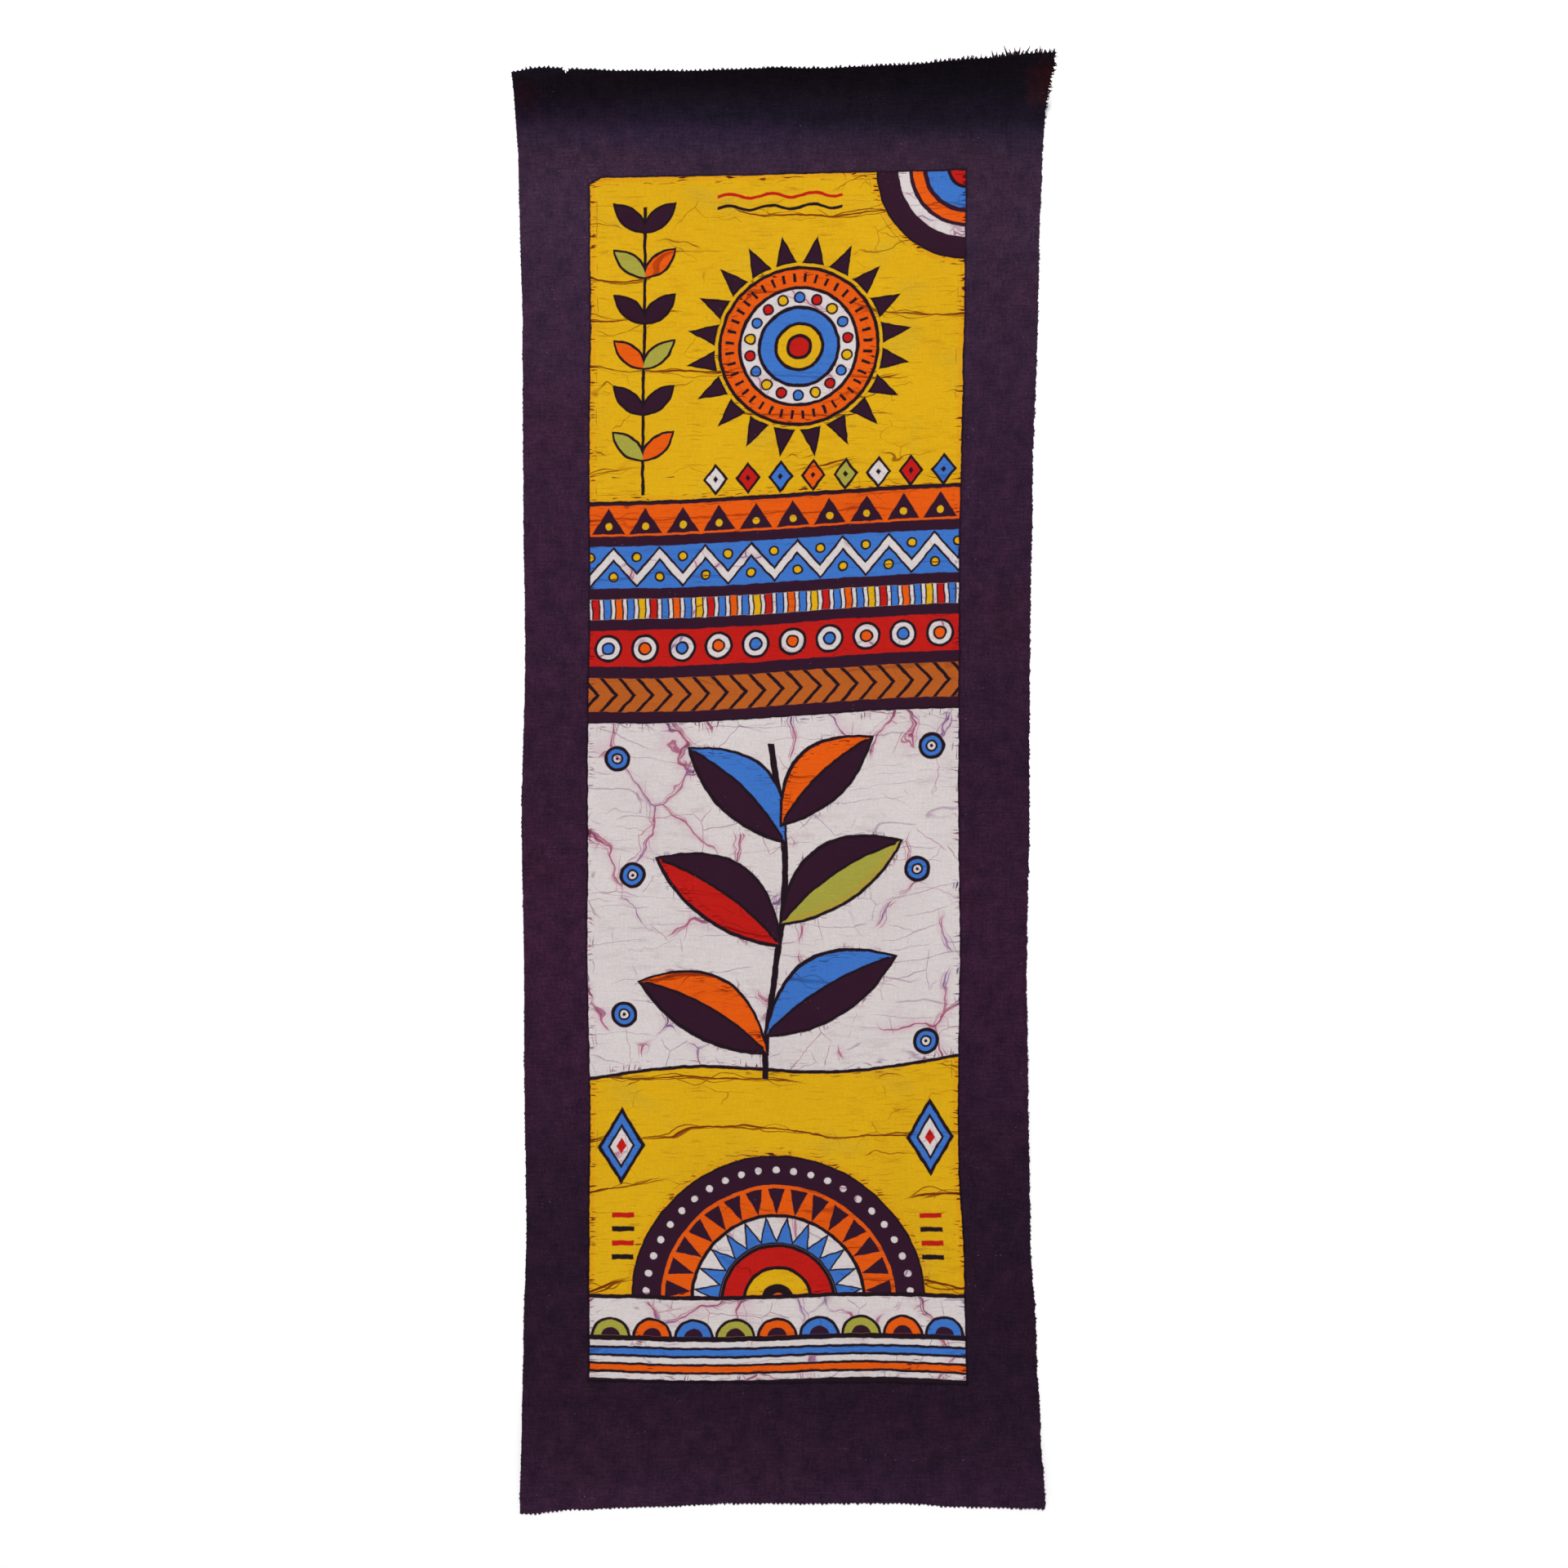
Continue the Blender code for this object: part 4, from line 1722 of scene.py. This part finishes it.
def thread_tree():
    """Threads that stand on a run of edge, each one an arc with its own length, turn and splay."""
    tree = bpy.data.node_groups.new("thread_ends", "GeometryNodeTree")
    tree.interface.new_socket("Geometry", in_out="INPUT", socket_type="NodeSocketGeometry")
    for name, kind, default in THREAD_INPUTS:
        socket = tree.interface.new_socket(name, in_out="INPUT", socket_type=kind)
        if default is not None:
            socket.default_value = default
    tree.interface.new_socket("Geometry", in_out="OUTPUT", socket_type="NodeSocketGeometry")

    graph = Graph(tree)
    entry = tree.nodes.new("NodeGroupInput")
    sizes = {name: Signal(graph, entry.outputs[name]) for name, kind, default in THREAD_INPUTS}

    run = graph.add("GeometryNodeMeshToCurve", inputs={"Mesh": Signal(graph, entry.outputs["Geometry"])})
    run = graph.add("GeometryNodeResampleCurve", {"mode": "LENGTH"}, {"Curve": run, "Length": sizes["Pitch"]})
    run = store(graph, run, "root", "FLOAT_VECTOR", graph.add("GeometryNodeInputPosition"))

    unit = graph.add("GeometryNodeCurvePrimitiveLine", inputs={"Start": (0, 0, 0), "End": (1, 0, 0)})
    unit = graph.add("GeometryNodeResampleCurve", inputs={"Curve": unit, "Count": sizes["Points"]})
    threads = graph.add("GeometryNodeInstanceOnPoints", inputs={"Points": run, "Instance": unit})
    number = graph.add("GeometryNodeInputIndex")
    threads = store(graph, threads, "number", "FLOAT", number, domain="INSTANCE")
    for step, (name, low, high) in enumerate(THREAD_CHANCES):
        chance = random_value(graph, low, high, number, sizes["Seed"] + step * 10)
        threads = store(graph, threads, name, "FLOAT", chance, domain="INSTANCE")
    threads = graph.add("GeometryNodeRealizeInstances", inputs={0: threads})

    share = graph.add("GeometryNodeSplineParameter", output="Factor")
    outward = named(graph, "outward", "FLOAT_VECTOR")
    upward = named(graph, "upward", "FLOAT_VECTOR")
    sideways = outward.vector("CROSS_PRODUCT", upward)
    tuft = named(graph, "reach") / sizes["Tuft"]
    tuft_place = graph.vector(tuft.math("FLOOR"), 0.5, sizes["Seed"])
    tuft_length = graph.add("ShaderNodeTexWhiteNoise", {"noise_dimensions": "3D"}, {"Vector": tuft_place})
    inside_tuft = (tuft.math("FRACT") - 0.5) * sizes["Tuft"]
    tuft_length = graph.blend_number(sizes["Evenness"], tuft_length, 1.0)
    length = sizes["Length"] * named(graph, "fray") * named(graph, "own_length") * tuft_length
    turn = named(graph, "own_turn") * sizes["Turn"]
    turn = turn + turn.math("SIGN") * LEAST_TURN
    splay = named(graph, "own_splay") * sizes["Splay"] + sizes["Lean"]
    angle = turn * share
    ahead = angle.math("SINE") / turn * length
    aside = (1 - angle.math("COSINE")) / turn * length
    along = ahead * splay.math("COSINE") - aside * splay.math("SINE")
    beside = ahead * splay.math("SINE") + aside * splay.math("COSINE")
    beside = beside - named(graph, "run_way") * inside_tuft * share * sizes["Gather"]
    above = share * share * length * named(graph, "own_rise") * named(graph, "lift")
    place = named(graph, "root", "FLOAT_VECTOR")
    for direction, reach in ((outward, along), (sideways, beside), (upward, above)):
        place = place.vector("ADD", direction.scaled(reach))
    threads = graph.add("GeometryNodeSetPosition", inputs={"Geometry": threads, "Position": place})
    threads = store(graph, threads, "share", "FLOAT", share)
    thin = sizes["Radius"] * (1 - named(graph, "share") * sizes["Taper"])
    circle = {"Resolution": THREAD_SIDES, "Radius": 1.0}
    profile = graph.add("GeometryNodeCurvePrimitiveCircle", inputs=circle)
    profile = store(graph, profile, "side", "FLOAT", share)
    inputs = {"Curve": threads, "Profile Curve": profile, "Scale": thin, "Fill Caps": True}
    threads = graph.add("GeometryNodeCurveToMesh", inputs=inputs)
    column = named(graph, "number").math("FLOORED_MODULO", TILE_COLUMNS)
    row = (named(graph, "number") / TILE_COLUMNS).math("FLOOR").math("FLOORED_MODULO", TILE_ROWS)
    across_tile = (column + named(graph, "side") * TILE_FILL + TILE_MARGIN) / TILE_COLUMNS
    up_tile = (row + named(graph, "share") * TILE_FILL + TILE_MARGIN) / TILE_ROWS
    threads = store(graph, threads, BAKE_MAP, "FLOAT2", graph.vector(across_tile, up_tile), "CORNER")
    cut_place = named(graph, "cut_place", "FLOAT_VECTOR")
    threads = store(graph, threads, CUT_MAP, "FLOAT2", cut_place, "CORNER")
    threads = graph.add("GeometryNodeRealizeInstances", inputs={0: threads})
    threads = graph.add("GeometryNodeSetMaterial", inputs={"Geometry": threads, "Material": sizes["Yarn"]})
    leave = tree.nodes.new("NodeGroupOutput")
    graph.feed(leave.inputs[0], threads)
    return tree


def named(graph, name, kind="FLOAT"):
    return graph.add("GeometryNodeInputNamedAttribute", {"data_type": kind}, {"Name": name}, "Attribute")


def store(graph, geometry, name, kind, value, domain="POINT"):
    settings = {"data_type": kind, "domain": domain}
    inputs = {"Geometry": geometry, "Name": name, "Value": value}
    return graph.add("GeometryNodeStoreNamedAttribute", settings, inputs)


def random_value(graph, low, high, number, seed):
    settings = {"data_type": "FLOAT"}
    return graph.add("FunctionNodeRandomValue", settings, {2: low, 3: high, "ID": number, "Seed": seed}, 1)


# What a mesh of threads keeps; the rest was only read by the tree
KEPT_ATTRIBUTES = (BAKE_MAP, CUT_MAP, "position", ".corner_vert", ".corner_edge", ".edge_verts",
                   "material_index", "sharp_face")


def make_threads(name, runs, tree, values):
    """Grow one piece of thread ends from runs of edge, as a plain mesh."""
    piece = bpy.data.objects.new(name, run_mesh(name + "_run", runs))
    bpy.context.scene.collection.objects.link(piece)
    modifier = piece.modifiers.new("threads", "NODES")
    modifier.node_group = tree
    for item in tree.interface.items_tree:
        if item.item_type == "SOCKET" and item.in_out == "INPUT" and item.name in values:
            modifier[item.identifier] = values[item.name]
    evaluated = piece.evaluated_get(bpy.context.evaluated_depsgraph_get())
    mesh = bpy.data.meshes.new_from_object(evaluated)
    if not mesh.polygons:
        raise RuntimeError(name + " has no threads")
    piece.modifiers.remove(modifier)
    piece.data = mesh
    mesh.name = name
    for attribute in [a.name for a in mesh.attributes if a.name not in KEPT_ATTRIBUTES and not a.is_internal]:
        mesh.attributes.remove(mesh.attributes[attribute])
    mesh.shade_smooth()
    return piece


def colour_property(name, description, default):
    return FloatVectorProperty(name=name, description=description, default=default,
                               size=3, min=0.0, max=1.0, subtype="COLOR")


class BatikClothSizes(bpy.types.PropertyGroup):
    """How fine the sheet is."""

    thickness: FloatProperty(
        name="Thickness", description="Thickness of the woven cotton",
        default=0.00045, min=0.0002, max=0.001, unit="LENGTH", precision=5)
    row_step: FloatProperty(
        name="Row step", description="Distance between the sheet's points along its length",
        default=0.0021, min=0.002, max=0.02, unit="LENGTH", precision=4)
    column_step: FloatProperty(
        name="Column step", description="Distance between the sheet's points across it",
        default=0.0040, min=0.002, max=0.02, unit="LENGTH", precision=4)


class BatikFraySizes(bpy.types.PropertyGroup):
    """The thread ends along the cut edges."""

    side_pitch: FloatProperty(
        name="Side pitch", description="Distance between thread ends along the two long edges",
        default=0.00062, min=0.0004, max=0.01, unit="LENGTH", precision=5)
    end_pitch: FloatProperty(
        name="End pitch", description="Distance between thread ends along the two short edges",
        default=0.00040, min=0.0003, max=0.01, unit="LENGTH", precision=5)
    length: FloatProperty(
        name="Length", description="Longest thread end on an edge that is fully frayed",
        default=0.0030, min=0.0005, max=0.01, unit="LENGTH", precision=4)
    loose_length: FloatProperty(
        name="Loose length", description="Longest loose thread at the frayed corner",
        default=0.011, min=0.002, max=0.03, unit="LENGTH", precision=4)
    radius: FloatProperty(
        name="Yarn radius", description="Radius of a single yarn",
        default=0.00022, min=0.00005, max=0.0005, unit="LENGTH", precision=5)
    end_radius: FloatProperty(
        name="End yarn radius", description="Radius of the yarns along the two short edges",
        default=0.00042, min=0.00005, max=0.0005, unit="LENGTH", precision=5)
    tuft_pitch: FloatProperty(
        name="Tuft pitch", description="Distance between the clumped spikes by the frayed corner",
        default=0.0021, min=0.001, max=0.01, unit="LENGTH", precision=4)
    tuft_length: FloatProperty(
        name="Tuft length", description="Longest clumped spike",
        default=0.0062, min=0.001, max=0.01, unit="LENGTH", precision=4)
    tuft_radius: FloatProperty(
        name="Tuft radius", description="Radius of a clumped spike at its root",
        default=0.00105, min=0.0002, max=0.002, unit="LENGTH", precision=5)
    loose_radius: FloatProperty(
        name="Loose radius", description="Radius of the loose threads, each a few yarns twisted together",
        default=0.00032, min=0.00005, max=0.0008, unit="LENGTH", precision=5)
    loose_pitch: FloatProperty(
        name="Loose pitch", description="Distance between the loose threads",
        default=0.0055, min=0.001, max=0.02, unit="LENGTH", precision=4)
    seed: IntProperty(
        name="Seed", description="Draws another set of threads", default=7, min=0, max=1000)


class BatikDyes(bpy.types.PropertyGroup):
    """The dyes of the border and of the panel's design."""

    border: colour_property("Border", "Last and darkest dye, round the panel", (0.0283, 0.0106, 0.0292))
    plum: colour_property("Plum", "The last dye inside the panel's dark shapes", (0.0248, 0.0062, 0.0175))
    outline: colour_property("Outline", "Drawn lines, where the dye lies deepest", (0.0125, 0.0052, 0.0095))
    white: colour_property("White", "Undyed cotton kept under wax", (0.545, 0.498, 0.492))
    yellow: colour_property("Yellow", "Main ground dye", (0.576, 0.323, 0.0050))
    blue: colour_property("Blue", "Blue dye", (0.037, 0.136, 0.442))
    red: colour_property("Red", "Red dye", (0.41, 0.0085, 0.0060))
    orange: colour_property("Orange", "Orange dye", (0.615, 0.081, 0.0032))
    tan: colour_property("Tan", "Light brown dye", (0.37, 0.085, 0.0125))
    green: colour_property("Green", "Green dye", (0.30, 0.28, 0.041))
    brown: colour_property("Brown", "Thinly dyed cotton near two corners", (0.036, 0.0064, 0.0090))
    worn_yarn: colour_property("Worn yarn", "Paler tips of frayed yarn", (0.07, 0.035, 0.045))
    speck: colour_property("Speck", "Tiny undyed slubs in the yarn", (0.20, 0.15, 0.17))


class BatikStage(bpy.types.PropertyGroup):
    """The stage, its lights and the camera."""

    camera_height: FloatProperty(
        name="Camera height", description="Height of the camera above the surface",
        default=1.1, min=0.3, max=5.0, unit="LENGTH")
    key_power: FloatProperty(
        name="Key power", description="Power of the large soft light",
        default=350.0, min=0.0, max=2000.0, subtype="POWER", unit="POWER")
    fill_light: FloatProperty(
        name="Fill light", description="Brightness of the light from all round",
        default=0.42, min=0.0, max=5.0)


class BATIK_OT_lay_cloth(bpy.types.Operator):
    """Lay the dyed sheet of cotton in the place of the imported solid"""

    bl_idname = "batik.lay_cloth"
    bl_label = "Lay cloth"

    def execute(self, context):
        cloth = laid_cloth()
        piece = bpy.data.objects.new("batik_cloth", sheet_mesh(cloth))
        context.scene.collection.objects.link(piece)
        piece.data.materials.append(cotton_material(context.scene.batik_dyes))
        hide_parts("cloth")
        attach(piece, BODY)
        return {"FINISHED"}


# How the threads of a piece differ from the thread tree's own defaults
END_THREAD_SHAPE = {"Evenness": 0.5}
TUFT_SHAPE = {"Splay": 0.45, "Lean": 0.25, "Gather": 0.0, "Evenness": 0.6, "Taper": 0.85}
LOOSE_THREAD_SHAPE = {"Turn": 5.5, "Splay": 1.2, "Points": 16, "Gather": 0.0}


class BATIK_OT_fray_edges(bpy.types.Operator):
    """Fray the four cut edges and leave some loose threads at one corner"""

    bl_idname = "batik.fray_edges"
    bl_label = "Fray edges"

    def execute(self, context):
        cloth = laid_cloth()
        sizes = context.scene.batik_fray
        material = yarn_material(context.scene.batik_dyes)
        tree = thread_tree()
        pieces = (
            # name, runs, pitch, length, radius, shape
            ("side_threads", side_runs(cloth), sizes.side_pitch, sizes.length, sizes.radius, {}),
            ("end_threads", end_runs(cloth), sizes.end_pitch, sizes.length, sizes.end_radius,
             END_THREAD_SHAPE),
            ("corner_tufts", tuft_runs(cloth), sizes.tuft_pitch, sizes.tuft_length, sizes.tuft_radius,
             TUFT_SHAPE),
            ("loose_threads", loose_runs(cloth), sizes.loose_pitch, sizes.loose_length,
             sizes.loose_radius, LOOSE_THREAD_SHAPE),
        )
        for name, runs, pitch, length, radius, shape in pieces:
            values = {"Pitch": pitch, "Length": length, "Radius": radius, "Seed": sizes.seed,
                      "Yarn": material, **shape}
            piece = make_threads(name, runs, tree, values)
            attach(piece, BODY)
        cloth.area()
        return {"FINISHED"}


def add_light(name, location, target, size, power):
    data = bpy.data.lights.new(name, "AREA")
    data.shape = "DISK"
    data.size = size
    data.energy = power
    light = bpy.data.objects.new(name, data)
    light.location = location
    light.rotation_euler = (target - location).to_track_quat("-Z", "Y").to_euler()
    bpy.context.scene.collection.objects.link(light)
    return light


# Width of the photographed square at the cloth's level, over the camera's distance
FRAME_WIDTH_SHARE = 1.0646 / 1.1
SENSOR_MM = 36.0
FLOOR_SIZE = 8.0
FLOOR_DROP = 0.3 * MM
KEY_DISTANCE = 6.0
KEY_ELEVATION = math.radians(58)
KEY_SIZE = 2.2
FLOOR_COLOUR = (0.90, 0.90, 0.90, 1.0)
FLOOR_ROUGHNESS = 0.9


class BATIK_OT_set_stage(bpy.types.Operator):
    """Set a plain pale floor, soft light and a camera straight above the cloth"""

    bl_idname = "batik.set_stage"
    bl_label = "Set stage"

    def execute(self, context):
        stage = context.scene.batik_stage
        shift = laid_cloth().shift
        middle = Vector((VIEW_AXIS[0] + shift.x, VIEW_AXIS[1] + shift.y, CLOTH_LOW.z))
        bpy.ops.mesh.primitive_plane_add(size=FLOOR_SIZE, location=middle - Vector((0, 0, FLOOR_DROP)))
        floor = context.object
        floor.name = "floor"
        material, graph, shader = new_material("pale_floor")
        shader.inputs["Base Color"].default_value = FLOOR_COLOUR
        shader.inputs["Roughness"].default_value = FLOOR_ROUGHNESS
        floor.data.materials.append(material)

        away = Vector((0.0, math.cos(KEY_ELEVATION), math.sin(KEY_ELEVATION)))
        add_light("key", middle + away * KEY_DISTANCE, middle, KEY_SIZE, stage.key_power)
        world = bpy.data.worlds.new("soft_room")
        world.use_nodes = True
        background = world.node_tree.nodes["Background"]
        background.inputs["Color"].default_value = (1.0, 1.0, 1.0, 1.0)
        background.inputs["Strength"].default_value = stage.fill_light
        context.scene.world = world

        data = bpy.data.cameras.new("camera")
        data.sensor_width = SENSOR_MM
        data.lens = SENSOR_MM / FRAME_WIDTH_SHARE
        camera = bpy.data.objects.new("camera", data)
        camera.location = middle + Vector((0, 0, stage.camera_height))
        context.scene.collection.objects.link(camera)
        context.scene.camera = camera
        context.scene.view_settings.view_transform = "Standard"
        return {"FINISHED"}


class BATIK_PT_panel(bpy.types.Panel):
    """Lists the steps that make the cloth"""

    bl_idname = "BATIK_PT_panel"
    bl_label = "Batik cloth"
    bl_space_type = "VIEW_3D"
    bl_region_type = "UI"
    bl_category = "Batik"

    def draw(self, context):
        for name in ("batik_cloth", "batik_fray", "batik_dyes", "batik_stage"):
            settings = getattr(context.scene, name)
            box = self.layout.box()
            for key in settings.__annotations__:
                box.prop(settings, key)
        for operator in OPERATORS:
            self.layout.operator(operator.bl_idname)


OPERATORS = (BATIK_OT_lay_cloth, BATIK_OT_fray_edges, BATIK_OT_set_stage)
GROUPS = {
    "batik_cloth": BatikClothSizes,
    "batik_fray": BatikFraySizes,
    "batik_dyes": BatikDyes,
    "batik_stage": BatikStage,
}


def register():
    for name, group in GROUPS.items():
        bpy.utils.register_class(group)
        setattr(bpy.types.Scene, name, PointerProperty(type=group))
    for listed in (*OPERATORS, BATIK_PT_panel):
        bpy.utils.register_class(listed)


def unregister():
    for listed in reversed((*OPERATORS, BATIK_PT_panel)):
        bpy.utils.unregister_class(listed)
    for name, group in GROUPS.items():
        delattr(bpy.types.Scene, name)
        bpy.utils.unregister_class(group)


def main():
    register()
    bpy.ops.batik.lay_cloth()
    bpy.ops.batik.fray_edges()
    bpy.ops.batik.set_stage()


if __name__ == "__main__":
    main()
